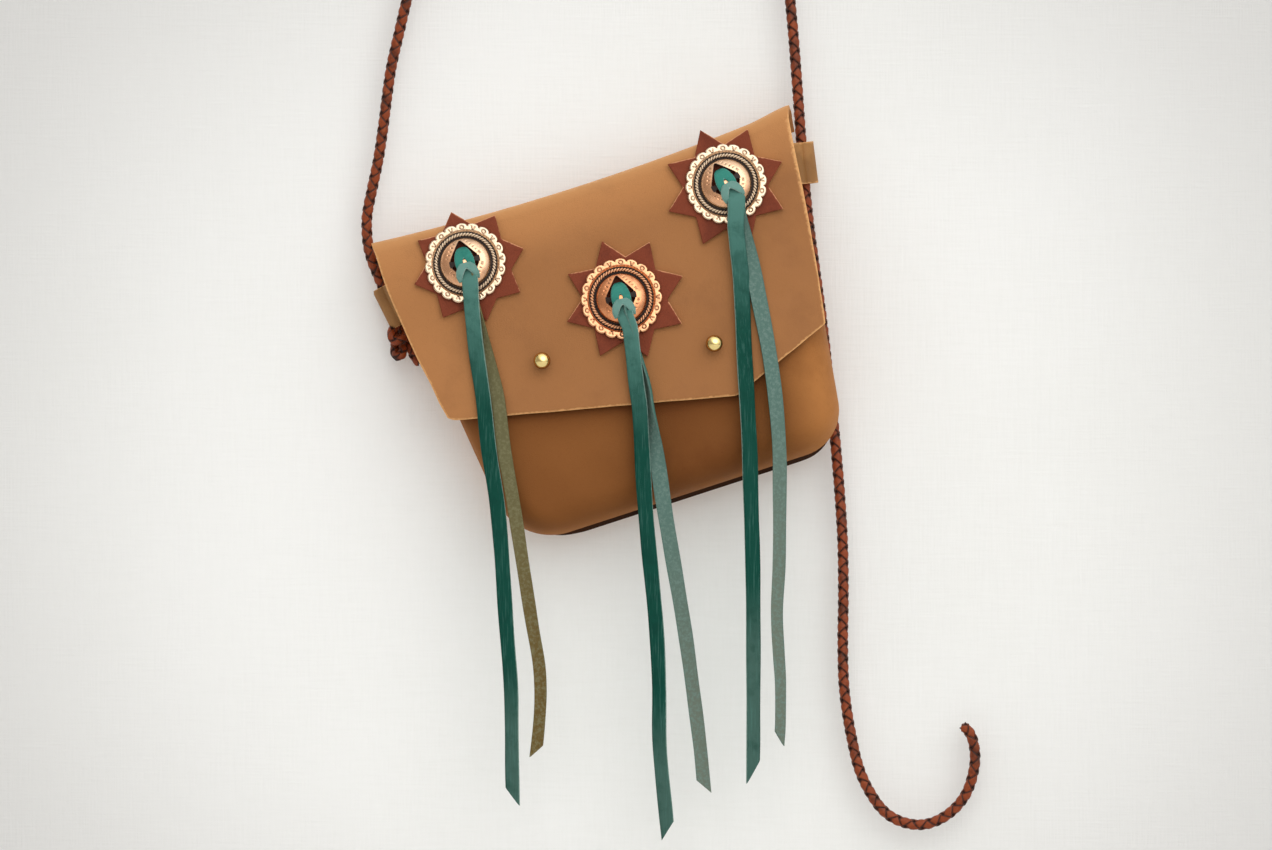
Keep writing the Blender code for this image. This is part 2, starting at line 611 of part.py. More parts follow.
def make_concho(index, name, copper, parent):
    """Stamped disc with a scalloped rim, a twisted rope ring, a hollow dome and two slots with a bar between."""
    seat, right, up, normal = concho_frame(index)
    steps = SCALLOPS * SCALLOP_STEPS
    phase = math.radians(CONCHO_PHASES[index] - 180.0 / SCALLOPS + CONCHO_LEANS[index])
    metal, rise, dome = CONCHO_METAL, CONCHO_DOME_RISE, CONCHO_DOME_RADIUS
    top = ((0.0, metal + rise), (0.6 * dome, metal + 0.8 * rise), (dome, 0.9 * metal),
           (ROPE_RADIUS - ROPE_HALF_WIDTH, 0.75 * metal), (ROPE_RADIUS, 1.6 * metal),
           (ROPE_RADIUS + ROPE_HALF_WIDTH, 0.75 * metal), (CONCHO_RADIUS, metal))
    under = ((CONCHO_RADIUS, 0.0), (dome - 0.4 * metal, 0.0), (0.56 * dome, 0.78 * rise), (0.0, rise))
    profile = top + under
    points, faces, rings = [], [], []
    base = seat + normal * concho_base()
    for radius, height in profile:
        ring = []
        for step in range(steps if radius else 1):
            angle = phase + math.tau * step / steps
            reach, lift = radius, height
            if radius == CONCHO_RADIUS and step % SCALLOP_STEPS == 0:
                reach -= SCALLOP_DEPTH
            if radius == ROPE_RADIUS and step % 2:
                lift -= 0.3 * metal
            ring.append(len(points))
            points.append(base + right * reach * math.cos(angle) + up * reach * math.sin(angle) + normal * lift)
        rings.append(ring)
    for low, high in zip(rings, rings[1:]):
        for step in range(steps):
            after = (step + 1) % steps
            if len(low) == 1:
                faces.append((low[0], high[step], high[after]))
            elif len(high) == 1:
                faces.append((low[step], high[0], low[after]))
            else:
                faces.append((low[step], high[step], high[after], low[after]))
    piece = add_piece(name, mesh_from(name, points, faces), copper, parent, smooth=25.0)
    slots = []
    for side in (-1.0, 1.0):
        base_line, apex = side * BAR_HALF_WIDTH, side * (BAR_HALF_WIDTH + SLOT_HEIGHT)
        slot = [(-SLOT_BASE / 2, base_line), (SLOT_BASE / 2, base_line), (0.0, apex)]
        slots.append(slot if side > 0 else list(reversed(slot)))
    cut(piece, prism_object(f"{name}_slots", slots, base, right, up, -metal, 3 * rise), parent)


def smooth_route(route, spacing):
    """Return evenly spaced points on a smooth curve through the route's points."""
    points = [Vector(point) for point in route]
    padded = [2 * points[0] - points[1]] + points + [2 * points[-1] - points[-2]]
    fine = []
    for a, b, c, d in zip(padded, padded[1:], padded[2:], padded[3:]):
        for step in range(16):
            t = step / 16
            fine.append(0.5 * (2 * b + (c - a) * t + (2 * a - 5 * b + 4 * c - d) * t ** 2
                               + (3 * b - a - 3 * c + d) * t ** 3))
    fine.append(points[-1])
    length = sum((b - a).length for a, b in zip(fine, fine[1:]))
    count = max(2, round(length / spacing))
    result, walked, index = [fine[0]], 0.0, 0
    for step in range(1, count):
        target = length * step / count
        while walked + (fine[index + 1] - fine[index]).length < target:
            walked += (fine[index + 1] - fine[index]).length
            index += 1
        leg = fine[index + 1] - fine[index]
        result.append(fine[index] + leg * ((target - walked) / leg.length))
    result.append(fine[-1])
    return result


def lace_knot(index):
    """Return the lace's centre line where it is threaded through the concho, the star and the flap."""
    seat, _, up, normal = concho_frame(index)
    half = LACE_THICK / 2
    over = concho_base() + CONCHO_METAL + CONCHO_DOME_RISE + CLEAR + half
    behind = -(LEATHER + CLEAR + half)
    front = over + 2 * LACE_THICK
    reach = LACE_REACH
    route = ((-1.3 * reach, front), (-0.6 * reach, over + LACE_THICK), (0.0, over), (0.62 * reach, over - half),
             (0.96 * reach, over - 3 * half), (reach, over - 6 * half), (reach, behind + 2.5 * half),
             (0.75 * reach, behind), (-0.75 * reach, behind), (-reach, behind + 2.5 * half),
             (-reach, over - 4 * half), (-1.15 * reach, over - half), (-1.75 * reach, over + CLEAR))
    return [seat + up * along + normal * out for along, out in route]


def lace_tail(route, start, lift):
    """Return the centre line of a tail that leaves the knot at start and comes to lie on the flap."""
    points = []
    for point in smooth_route([Vector((*hung_to_bag(x * MM, z * MM), 0.0)) for x, z in route], LACE_SPACING):
        u, v = point.x, point.y
        below = v + start.z
        if below < LACE_SPACING / 2:
            continue
        skin = flap_outer(u, min(v, FLAP_LOW_CORNER[1])) + lift
        w = -start.y + (skin + start.y) * smooth_step(below / LACE_SETTLE)
        points.append(bag_point(u, v, w))
    return points


def make_lace(index, name, leather, parent):
    """Thong that runs over the bar, through the flap and back out, and hangs down in two tails."""
    knot = lace_knot(index)
    lift = LACE_THICK / 2 + CLEAR
    front = lace_tail(LACE_FRONT_ROUTES[index], knot[0], lift + LACE_THICK + 2 * CLEAR)
    back = lace_tail(LACE_BACK_ROUTES[index], knot[-1], lift)
    line = list(reversed(front)) + knot + back
    _, right, _, _ = concho_frame(index)
    hang_right = Vector((math.cos(TILT), 0.0, -math.sin(TILT)))
    points, faces = [], []
    last = len(line) - 1
    for number, point in enumerate(line):
        along = (line[min(number + 1, last)] - line[max(number - 1, 0)]).normalized()
        outside = max(len(front) - number, number - len(front) - len(knot) + 1, 0)
        share = smooth_step(outside / LACE_TURN_STATIONS)
        side = right * (1.0 - share) + hang_right * share
        out = side.cross(along).normalized()
        side = along.cross(out).normalized()
        for x, y in ((-1, -1), (1, -1), (1, 1), (-1, 1)):
            points.append(point + side * x * LACE_WIDTH / 2 + out * y * LACE_THICK / 2)
    for number in range(last):
        here, there = 4 * number, 4 * number + 4
        for corner in range(4):
            after = (corner + 1) % 4
            faces.append((here + corner, here + after, there + after, there + corner))
    faces.append((3, 2, 1, 0))
    faces.append(tuple(4 * last + corner for corner in range(4)))
    add_piece(name, mesh_from(name, points, faces), leather, parent)


def make_stud(index, name, gold, parent):
    """Ball stud: a base that seats on the panel, a neck and a ball, bored for its screw."""
    seat, axis = stud_seat(*STUD_PLACES[index])
    base, neck, ball = STUD_BASE_RADIUS, STUD_NECK_RADIUS, STUD_BALL_RADIUS
    low = CLEAR + STUD_BASE_THICK
    middle = low + STUD_NECK_LENGTH + 0.85 * ball
    bore = SCREW_RADIUS + CLEAR
    depth = SCREW_REACH + CLEAR
    profile = [(0.0, CLEAR + depth), (bore, CLEAR + depth), (bore, CLEAR), (base, CLEAR), (base, low),
               (neck * 1.15, low + STUD_NECK_FLARE)]
    start = math.asin(neck / ball)
    for step in range(9):
        angle = start + (math.pi - start) * step / 8
        profile.append((ball * math.sin(angle) if step < 8 else 0.0, middle - ball * math.cos(angle)))
    add_piece(name, lathe_mesh(name, profile, ROUND_STEPS, seat, axis), gold, parent)


def make_screw(index, name, steel, parent):
    """Screw that holds a ball stud from inside the pouch."""
    seat, axis = stud_seat(*STUD_PLACES[index])
    under = -LEATHER - CLEAR
    profile = ((0.0, SCREW_REACH), (SCREW_RADIUS, SCREW_REACH), (SCREW_RADIUS, under),
               (SCREW_HEAD_RADIUS, under), (0.85 * SCREW_HEAD_RADIUS, under - SCREW_HEAD_THICK),
               (0.0, under - SCREW_HEAD_THICK))
    add_piece(name, lathe_mesh(name, profile, ROUND_STEPS, seat, axis), steel, parent)


def keeper_frame(left):
    """Return the middle of a keeper's eye, its directions outward, along the strap and forward, and its length."""
    top, low = (hung_to_bag(x * MM, z * MM) for x, z in (KEEPER_LEFT_ENDS if left else KEEPER_RIGHT_ENDS))
    start, end = bag_point(*top, STRAP_DEPTH), bag_point(*low, STRAP_DEPTH)
    down = (end - start).normalized()
    forward = Vector((0.0, -1.0, 0.0))
    side = down.cross(forward).normalized()
    return (start + end) / 2, side if (side.x < 0) == left else -side, forward, (end - start).length


def keeper_tab(left):
    """Return how far inward from a keeper's eye its tab starts and ends, and how far forward its middle lies."""
    middle, _, _, _ = keeper_frame(left)
    start = abs(pouch_side(-middle.z, left, 0.0) - middle.x) - KEEPER_SHOWN
    return start, start + KEEPER_SHOWN + KEEPER_REACH, SEAM_DEPTH - STRAP_DEPTH


def keeper_notch(name, left):
    """Return the cutter for the gap in the side seam that a keeper's tab passes through."""
    middle, out, forward, length = keeper_frame(left)
    start, end, centre = keeper_tab(left)
    half = KEEPER_LEATHER + CLEAR
    outer, inner = -start + NOTCH_SPARE, -end - 2 * CLEAR
    outline = [(inner, centre - half), (outer, centre - half), (outer, centre + half), (inner, centre + half)]
    reach = length / 2 + CLEAR
    return prism_object(name, [outline], middle, out, forward, -reach, reach)


def make_keeper(left, name, leather, parent):
    """Keeper: a strip folded round the strap, its two ends held in the side seam."""
    middle, out, forward, length = keeper_frame(left)
    start, end, centre = keeper_tab(left)
    eye = STRAP_DIAMETER / 2 + KEEPER_EYE_EASE
    loop, thick = eye + KEEPER_LEATHER, KEEPER_LEATHER
    first, last = KEEPER_LOOP_SPAN
    outline = []
    for step in range(KEEPER_ARC_STEPS + 1):
        angle = math.radians(first + (last - first) * step / KEEPER_ARC_STEPS)
        outline.append((loop * math.cos(angle), loop * math.sin(angle)))
    outline += [(-end, centre + thick), (-end, centre - thick), (-start, centre - thick)]
    outline.insert(KEEPER_ARC_STEPS + 1, (-start, centre + thick))
    form = prism_object(name + "_form", [outline], middle, out, forward, -length / 2, length / 2)
    mesh = form.data
    bpy.data.objects.remove(form)
    piece = add_piece(name, mesh, leather, parent)
    hole = [circle_outline(eye, KEEPER_ARC_STEPS)]
    cut(piece, prism_object(name + "_eye", hole, middle, out, forward, -length, length), parent)


def make_strap(name, leather):
    """Braided strap, from its knot over the crown and down to its free tail."""
    route = smooth_route([Vector((x * MM, 0.0, z * MM)) for x, z in STRAP_ROUTE], 2.8 * STRAP_DIAMETER)
    curve = bpy.data.curves.new(name, "CURVE")
    curve.dimensions = "3D"
    curve.bevel_depth = STRAP_DIAMETER / 2
    curve.bevel_resolution = 2
    curve.use_fill_caps = True
    spline = curve.splines.new("POLY")
    spline.points.add(len(route) - 1)
    for knot, point in zip(spline.points, route):
        knot.co = (*point, 1.0)
    curve.materials.append(leather)
    piece = bpy.data.objects.new(name, curve)
    bpy.context.collection.objects.link(piece)


def make_knot(name, leather):
    """Stopper knot under the left keeper."""
    top = Vector((STRAP_ROUTE[0][0] * MM, 0.0, STRAP_ROUTE[0][1] * MM))
    down = Vector((STRAP_ROUTE[0][0] - STRAP_ROUTE[1][0], 0.0, STRAP_ROUTE[0][1] - STRAP_ROUTE[1][1])).normalized()
    outline = ((0.0, 0.0), (0.45, 0.0), (0.78, 0.07), (0.92, 0.22), (0.85, 0.38), (0.74, 0.46), (0.92, 0.56),
               (1.0, 0.7), (0.88, 0.88), (0.5, 0.98), (0.0, 1.0))
    profile = [(r * KNOT_RADIUS, CLEAR + h * KNOT_HEIGHT) for r, h in outline]
    add_piece(name, lathe_mesh(name, profile, 16, top, down), leather, None)


def main():
    """Build the whole bag."""
    clear_scene()
    tan = make_material("tan_leather", (0.42, 0.22, 0.10), 0.62)
    umber = make_material("pouch_leather", (0.30, 0.14, 0.06), 0.6)
    russet = make_material("star_leather", (0.20, 0.06, 0.045), 0.65)
    teal = make_material("lace_leather", (0.01, 0.12, 0.10), 0.6)
    braid = make_material("strap_leather", (0.27, 0.085, 0.03), 0.5)
    copper = make_material("concho_copper", (0.72, 0.38, 0.24), 0.3, 1.0)
    gold = make_material("stud_brass", (0.85, 0.6, 0.2), 0.15, 1.0)
    steel = make_material("screw_steel", (0.6, 0.6, 0.6), 0.3, 1.0)

    bag = make_empty("bag_tilt", None, BAG_CORNER)
    bag.rotation_euler = (0.0, -TILT, 0.0)
    hinge = make_empty("flap_hinge", bag, HINGE)

    make_back(umber, bag)
    make_front(umber, bag)
    make_flap(tan, hinge)
    for index, name in enumerate(("left", "middle", "right")):
        make_star(index, f"star_{name}", russet, hinge)
        make_concho(index, f"concho_{name}", copper, hinge)
        make_lace(index, f"lace_{name}", teal, hinge)
    for index, name in enumerate(("left", "right")):
        make_stud(index, f"stud_{name}", gold, bag)
        make_screw(index, f"stud_screw_{name}", steel, bag)
    make_keeper(True, "keeper_left", tan, bag)
    make_keeper(False, "keeper_right", tan, bag)
    make_strap("strap", braid)
    make_knot("strap_knot", braid)


main()
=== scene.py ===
"""Looks of a small leather shoulder bag, hung up by its braided strap before a pale wall.

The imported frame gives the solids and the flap's joint. Every visible piece is made here, in metres, in the
frame's own place. Sizes on the bag are in millimetres along its own directions: u to the right, v down and w
towards the viewer, from the flap's top left corner and the back panel's outer face.
"""

import logging
import math
from collections.abc import Callable, Sequence
from dataclasses import dataclass
from enum import Enum

import bmesh
import bpy
import numpy as np
from mathutils import Matrix, Vector


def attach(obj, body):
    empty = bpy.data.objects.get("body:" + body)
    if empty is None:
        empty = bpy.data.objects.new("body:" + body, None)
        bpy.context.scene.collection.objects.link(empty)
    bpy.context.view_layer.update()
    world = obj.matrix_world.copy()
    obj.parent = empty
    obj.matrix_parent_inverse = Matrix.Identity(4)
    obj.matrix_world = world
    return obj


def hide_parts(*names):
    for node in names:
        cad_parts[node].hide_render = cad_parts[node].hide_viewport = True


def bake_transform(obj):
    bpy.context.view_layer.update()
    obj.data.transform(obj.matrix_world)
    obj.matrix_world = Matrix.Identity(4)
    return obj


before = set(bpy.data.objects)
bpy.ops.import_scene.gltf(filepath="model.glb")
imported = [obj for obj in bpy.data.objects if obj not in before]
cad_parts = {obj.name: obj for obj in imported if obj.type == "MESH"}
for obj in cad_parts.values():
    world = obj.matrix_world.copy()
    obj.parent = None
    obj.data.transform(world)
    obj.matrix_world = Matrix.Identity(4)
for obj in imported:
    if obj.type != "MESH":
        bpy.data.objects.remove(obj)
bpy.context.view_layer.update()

LOG = logging.getLogger("bag")
Array = np.ndarray
Faces = list[tuple[int, ...]]
Pair = tuple[float, float]
Piece = bpy.types.Object
Material = bpy.types.Material
Tree = bpy.types.NodeTree
Socket = bpy.types.NodeSocket
Colour = str | tuple[float, ...]
Triple = tuple[float, float, float]
Values = dict[str | int, object]

MM = 0.001
CLEAR = 0.3
FLAP_GAP = 2.3
TOWARDS = np.array((0.0, -1.0, 0.0))


class Side(Enum):
    """The two sides of the bag, as the viewer sees them."""

    LEFT = "left"
    RIGHT = "right"


class Spot(Enum):
    """Where a concho sits."""

    LEFT = 0
    MIDDLE = 1
    RIGHT = 2

    @property
    def word(self) -> str:
        """Return the spot's name as pieces and nodes spell it."""
        return self.name.lower()


# Shapes on the bag


def smooth(value: Array | float) -> Array:
    """Return 0 below 0, 1 above 1 and a smooth rise between them."""
    value = np.clip(value, 0.0, 1.0)
    return value * value * (3.0 - 2.0 * value)


def share(value: Array | float) -> Array:
    """Return a value kept between 0 and 1."""
    return np.clip(value, 0.0, 1.0)


def bell(value: Array) -> Array:
    """Return 1 at 0, falling to nothing on both sides."""
    return np.exp(-value ** 2)


def unit(vector: Array) -> Array:
    """Return vectors brought to a length of 1."""
    return vector / np.linalg.norm(vector, axis=-1, keepdims=True)


def circle(steps: int) -> Array:
    """Return evenly spaced angles round a circle."""
    return np.arange(steps) * math.tau / steps


def ripple(u: Array, v: Array, seed: int, length: float) -> Array:
    """Return a soft, repeatable unevenness over a surface.

    Args:
        u: Places along the surface, in millimetres.
        v: Places across it.
        seed: Picks the pattern.
        length: Length of the longest wave, in millimetres.

    Returns:
        A value from -1 to 1 for each place.
    """
    random = np.random.default_rng(seed)
    total = np.zeros(np.broadcast(u, v).shape)
    for part in (1.0, 0.6, 0.4):
        for _ in range(3):
            angle, phase = random.uniform(0.0, math.tau, 2)
            wave = math.tau / (length * part)
            total = total + part * np.sin(wave * (u * math.cos(angle) + v * math.sin(angle)) + phase)
    return total / 6.0


class Hang:
    """Turns places and directions on the tilted bag into the hanging frame."""

    TILT = math.radians(18.0)
    CORNER = (-111.5, -3.0, -245.1)

    @classmethod
    def turn(cls, u: Array | float, v: Array | float, w: Array | float) -> Array:
        """Return directions in the hanging frame.

        Args:
            u: How far to the right.
            v: How far down.
            w: How far towards the viewer.

        Returns:
            The directions, with x, y and z along the last axis.
        """
        across, down = math.cos(cls.TILT), math.sin(cls.TILT)
        u, v, w = np.broadcast_arrays(u, v, w)
        return np.stack((across * u + down * v, -w, down * u - across * v), axis=-1)

    @classmethod
    def place(cls, u: Array | float, v: Array | float, w: Array | float) -> Array:
        """Return points in metres for places in millimetres."""
        return (cls.turn(u, v, w) + cls.CORNER) * MM

    @classmethod
    def to_bag(cls, x: float, z: float) -> Pair:
        """Return u and v of a point that is given by x and z in millimetres.

        Args:
            x: The point's x.
            z: Its z.

        Returns:
            The places u and v on the bag.
        """
        dx, dz = x - cls.CORNER[0], z - cls.CORNER[2]
        across, down = math.cos(cls.TILT), math.sin(cls.TILT)
        return across * dx + down * dz, down * dx - across * dz


@dataclass(frozen=True)
class FlapFall:
    """How the flap leaves its fold and falls over the belly, in millimetres."""

    width: float = 202.0
    leather: float = 2.0
    fold_radius: float = 6.0
    hinge_drop: float = 8.0
    slope: float = 0.2522
    rounding: float = 0.00086
    crown: float = 3.0
    crown_reach: float = 50.0
    sag: float = 4.4
    sag_from: float = 2.0
    sag_reach: float = 45.0
    tip_lift: float = 1.3
    tip: float = 0.1

    def inner(self, u: Array, v: Array) -> Array:
        """Return w of the flap's inner face at places u and v.

        Args:
            u: Places to the right.
            v: Places down.

        Returns:
            The face's w at each place, in millimetres.
        """
        drop = np.asarray(v) - self.hinge_drop
        fall = np.maximum(drop, 0.0)
        across = (np.asarray(u) - self.width / 2) / (self.width / 2)
        crown = self.crown * across ** 2 * smooth(fall / self.crown_reach)
        return 2 * self.fold_radius - self.leather + self.slope * drop - self.rounding * fall ** 2 - crown

    def outer(self, u: Array, v: Array) -> Array:
        """Return w of the flap's outer face."""
        return self.inner(u, v) + self.leather

    def axes(self, u: float, v: float) -> tuple[Array, Array, Array]:
        """Return the directions right, up and outward of the outer face.

        Args:
            u: Where on the face, to the right.
            v: Where on the face, down.

        Returns:
            Three directions in the hanging frame, square to each other.
        """
        step = 0.5
        along_u = np.array((2 * step, 0.0, float(self.outer(u + step, v) - self.outer(u - step, v))))
        along_v = np.array((0.0, 2 * step, float(self.outer(u, v + step) - self.outer(u, v - step))))
        out = Hang.turn(*unit(np.cross(along_u, along_v)))
        up = unit(np.cross(out, Hang.turn(1.0, 0.0, 0.0)))
        return np.cross(up, out), up, out

    def crest_shift(self, u: Array, v: Array) -> Array:
        """Return how far the leather near the crest lies below its plain place, because the crest sags.

        Args:
            u: Places to the right.
            v: Places down.

        Returns:
            The way down, in millimetres.
        """
        across = share(np.asarray(u) / self.width)
        sag = self.sag * 4.0 * across * (1.0 - across) - (self.hinge_drop - self.fold_radius)
        sag = sag - self.tip_lift * smooth((across - (1.0 - self.tip)) / self.tip)
        return sag * (1.0 - smooth((np.asarray(v) - self.sag_from) / self.sag_reach))


FALL = FlapFall()
HEM = ((7.5, 89.5), (139.5, 120.0), (189.0, 100.5))


# Lines and outlines


def walk(line: Array) -> Array:
    """Return how far each point of a line lies along it."""
    return np.concatenate(((0.0,), np.cumsum(np.linalg.norm(np.diff(line, axis=0), axis=1))))


def even(line: Array, count: int) -> Array:
    """Return evenly spaced points of a line.

    Args:
        line: The line's points.
        count: How many points.

    Returns:
        The new points.
    """
    walked = walk(line)
    targets = np.linspace(0.0, walked[-1], count)
    return np.stack([np.interp(targets, walked, part) for part in line.T], axis=-1)


def curve_through(points: Sequence[Sequence[float]], spacing: float) -> Array:
    """Return evenly spaced points on a smooth curve.

    Args:
        points: The points that the curve goes through.
        spacing: About how far apart the new points are.

    Returns:
        The new points.
    """
    marks = np.array(points, float)
    padded = np.vstack((2 * marks[0] - marks[1], marks, 2 * marks[-1] - marks[-2]))
    fine: list[Array] = []
    for a, b, c, d in zip(padded, padded[1:], padded[2:], padded[3:]):
        for t in np.arange(16) / 16:
            fine.append(0.5 * (2 * b + (c - a) * t + (2 * a - 5 * b + 4 * c - d) * t ** 2
                               + (3 * b - a - 3 * c + d) * t ** 3))
    line = np.vstack((fine, marks[-1:]))
    return even(line, max(2, round(walk(line)[-1] / spacing)) + 1)


def round_corners(corners: Sequence[Triple], steps: int = 8) -> Array:
    """Return an outline with rounded corners.

    Args:
        corners: The corners, each as x, y and a radius.
        steps: Steps round a corner.

    Returns:
        The outline's points.
    """
    outline: list[Array] = []
    for index, (x, y, radius) in enumerate(corners):
        here = np.array((x, y))
        if radius == 0.0:
            outline.append(here)
            continue
        before = unit(np.array(corners[index - 1][:2]) - here)
        after = unit(np.array(corners[(index + 1) % len(corners)][:2]) - here)
        half = math.acos(float(np.clip(before @ after, -1.0, 1.0))) / 2
        centre = here + unit(before + after) * radius / math.sin(half)
        start, end = here + before * radius / math.tan(half), here + after * radius / math.tan(half)
        for step in range(steps + 1):
            outline.append(centre + unit((start * (steps - step) + end * step) / steps - centre) * radius)
    return np.array(outline)


def inside_outline(points: Array, outline: Array) -> Array:
    """Return which points of the plane lie inside an outline.

    Args:
        points: The points.
        outline: The outline's points.

    Returns:
        True for each point inside.
    """
    x, y = points[:, 0:1], points[:, 1:2]
    ax, ay = outline.T
    bx, by = np.roll(ax, -1), np.roll(ay, -1)
    crossing = (bx - ax) * (y - ay) / np.where(by == ay, 1e-9, by - ay) + ax
    return np.sum(((ay > y) != (by > y)) & (x < crossing), axis=1) % 2 == 1


def nearest_on_line(points: Array, line: Array, closed: bool = True) -> tuple[Array, Array, Array]:
    """Find the nearest place of a line to each point.

    Args:
        points: The points.
        line: The line's points.
        closed: Whether the line's end is joined to its start.

    Returns:
        The nearest places, their distances, and how far along the line they are.
    """
    ends = np.roll(line, -1, axis=0) if closed else line[1:]
    best, along = np.full(len(points), np.inf), np.zeros(len(points))
    place = np.zeros_like(points)
    walked = 0.0
    for a, b in zip(line, ends):
        leg = b - a
        length = float(np.linalg.norm(leg))
        part = share((points - a) @ leg / max(length ** 2, 1e-12))
        foot = a + part[:, None] * leg
        gap = np.linalg.norm(points - foot, axis=1)
        nearer = gap < best
        best[nearer], place[nearer] = gap[nearer], foot[nearer]
        along[nearer] = walked + part[nearer] * length
        walked += length
    return place, best, along


# Mesh making


def link(name: str, data: bpy.types.ID) -> Piece:
    """Return a new object of the scene with the given data.

    Args:
        name: The object's name.
        data: Its data.

    Returns:
        The linked object.
    """
    piece = bpy.data.objects.new(name, data)
    bpy.context.collection.objects.link(piece)
    return piece


def dress(piece: Piece, finish: Material | None, node: str, body: str | None) -> Piece:
    """Give a piece its finish and tell the frame what it stands for.

    Args:
        piece: The piece.
        finish: Its finish, or None where it has one.
        node: The node of the frame that it replaces.
        body: The body that it rides on, or None to leave it unattached.

    Returns:
        The piece.
    """
    if finish is not None:
        piece.data.materials.append(finish)
    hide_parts(node)
    if body is not None:
        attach(piece, body)
    return piece


def make_piece(name: str, points: Array, faces: Faces, values: dict[str, Array] | None = None,
               sharp: float = 40.0, merge: bool = False) -> Piece:
    """Make an object at the origin.

    Args:
        name: The piece's name.
        points: Its points, in metres.
        faces: Its faces.
        values: Named values of each point, for its material.
        sharp: The angle in degrees past which an edge stays sharp.
        merge: Joins points that lie on each other.

    Returns:
        The linked object.
    """
    mesh = bpy.data.meshes.new(name)
    mesh.from_pydata(np.asarray(points).reshape(-1, 3).tolist(), [], faces)
    for key, value in (values or {}).items():
        field = mesh.attributes.new(key, "FLOAT", "POINT")
        field.data.foreach_set("value", np.ravel(value).astype(np.float32))
    shape = bmesh.new()
    shape.from_mesh(mesh)
    if merge:
        bmesh.ops.remove_doubles(shape, verts=shape.verts, dist=2e-6)
    bmesh.ops.recalc_face_normals(shape, faces=shape.faces)
    loose = [vert for vert in shape.verts if not vert.link_faces]
    bmesh.ops.delete(shape, geom=loose, context="VERTS")
    shape.to_mesh(mesh)
    shape.free()
    mesh.shade_smooth()
    mesh.set_sharp_from_angle(angle=math.radians(sharp))
    return link(name, mesh)


def grid_faces(rows: int, columns: int, wrap: bool = False) -> Array:
    """Return the four-sided faces of a grid of points.

    Args:
        rows: Its rows.
        columns: Its points in a row.
        wrap: Joins each row's end to its start.

    Returns:
        The faces, as rows of point numbers.
    """
    row, column = np.meshgrid(np.arange(rows - 1), np.arange(columns if wrap else columns - 1), indexing="ij")
    a, b = row * columns + column, row * columns + (column + 1) % columns
    return np.stack((a, b, b + columns, a + columns), axis=-1).reshape(-1, 4)


def closed_sheet(name: str, top: Array, under: Array, faces: Array, values: dict[str, Array],
                 sharp: float = 55.0, merge: bool = False) -> Piece:
    """Make a sheet with a top, an underside and walls along every open edge.

    Args:
        name: The piece's name.
        top: The points of its top.
        under: The point under each of them.
        faces: The faces of the top, as rows of point numbers.
        values: Named values of each top point, used for the underside as well unless "name_under" is given.
        sharp: The angle in degrees past which an edge stays sharp.
        merge: Joins points that lie on each other.

    Returns:
        The linked object.
    """
    top, under = np.asarray(top).reshape(-1, 3), np.asarray(under).reshape(-1, 3)
    count = len(top)
    starts, ends = faces.ravel(), np.roll(faces, -1, axis=1).ravel()
    lone = ~np.isin(starts.astype(np.int64) * count + ends, ends.astype(np.int64) * count + starts)
    walls = np.stack((ends[lone], starts[lone], starts[lone] + count, ends[lone] + count), axis=-1)
    every = np.concatenate((faces, faces[:, ::-1] + count, walls))
    both = {key: np.concatenate((np.ravel(value), np.ravel(values.get(key + "_under", value))))
            for key, value in values.items() if not key.endswith("_under")}
    return make_piece(name, np.concatenate((top, under)), every.tolist(), both, sharp, merge)


def open_holes(flat: Array, faces: Array, outlines: Sequence[Array]) -> tuple[Array, Array]:
    """Open holes in a flat grid of points.

    Args:
        flat: The points in the plane.
        faces: The grid's faces.
        outlines: The holes' outlines.

    Returns:
        The points, with those beside a hole moved onto its outline, and the faces that are left.
    """
    flat = flat.copy()
    for outline in outlines:
        within = inside_outline(flat, outline)
        faces = faces[~np.all(within[faces], axis=1)]
        rim = np.unique(faces[np.any(within[faces], axis=1)])
        rim = rim[within[rim]]
        flat[rim] = nearest_on_line(flat[rim], outline)[0]
    return flat, faces


RIBBON_SECTION = ((-1.0, -0.5), (-1.0, 0.1), (-0.84, 0.5), (-0.6, 0.5), (-0.2, 0.5), (0.2, 0.5), (0.6, 0.5),
                  (0.84, 0.5), (1.0, 0.1), (1.0, -0.5), (0.6, -0.5), (0.0, -0.5), (-0.6, -0.5))


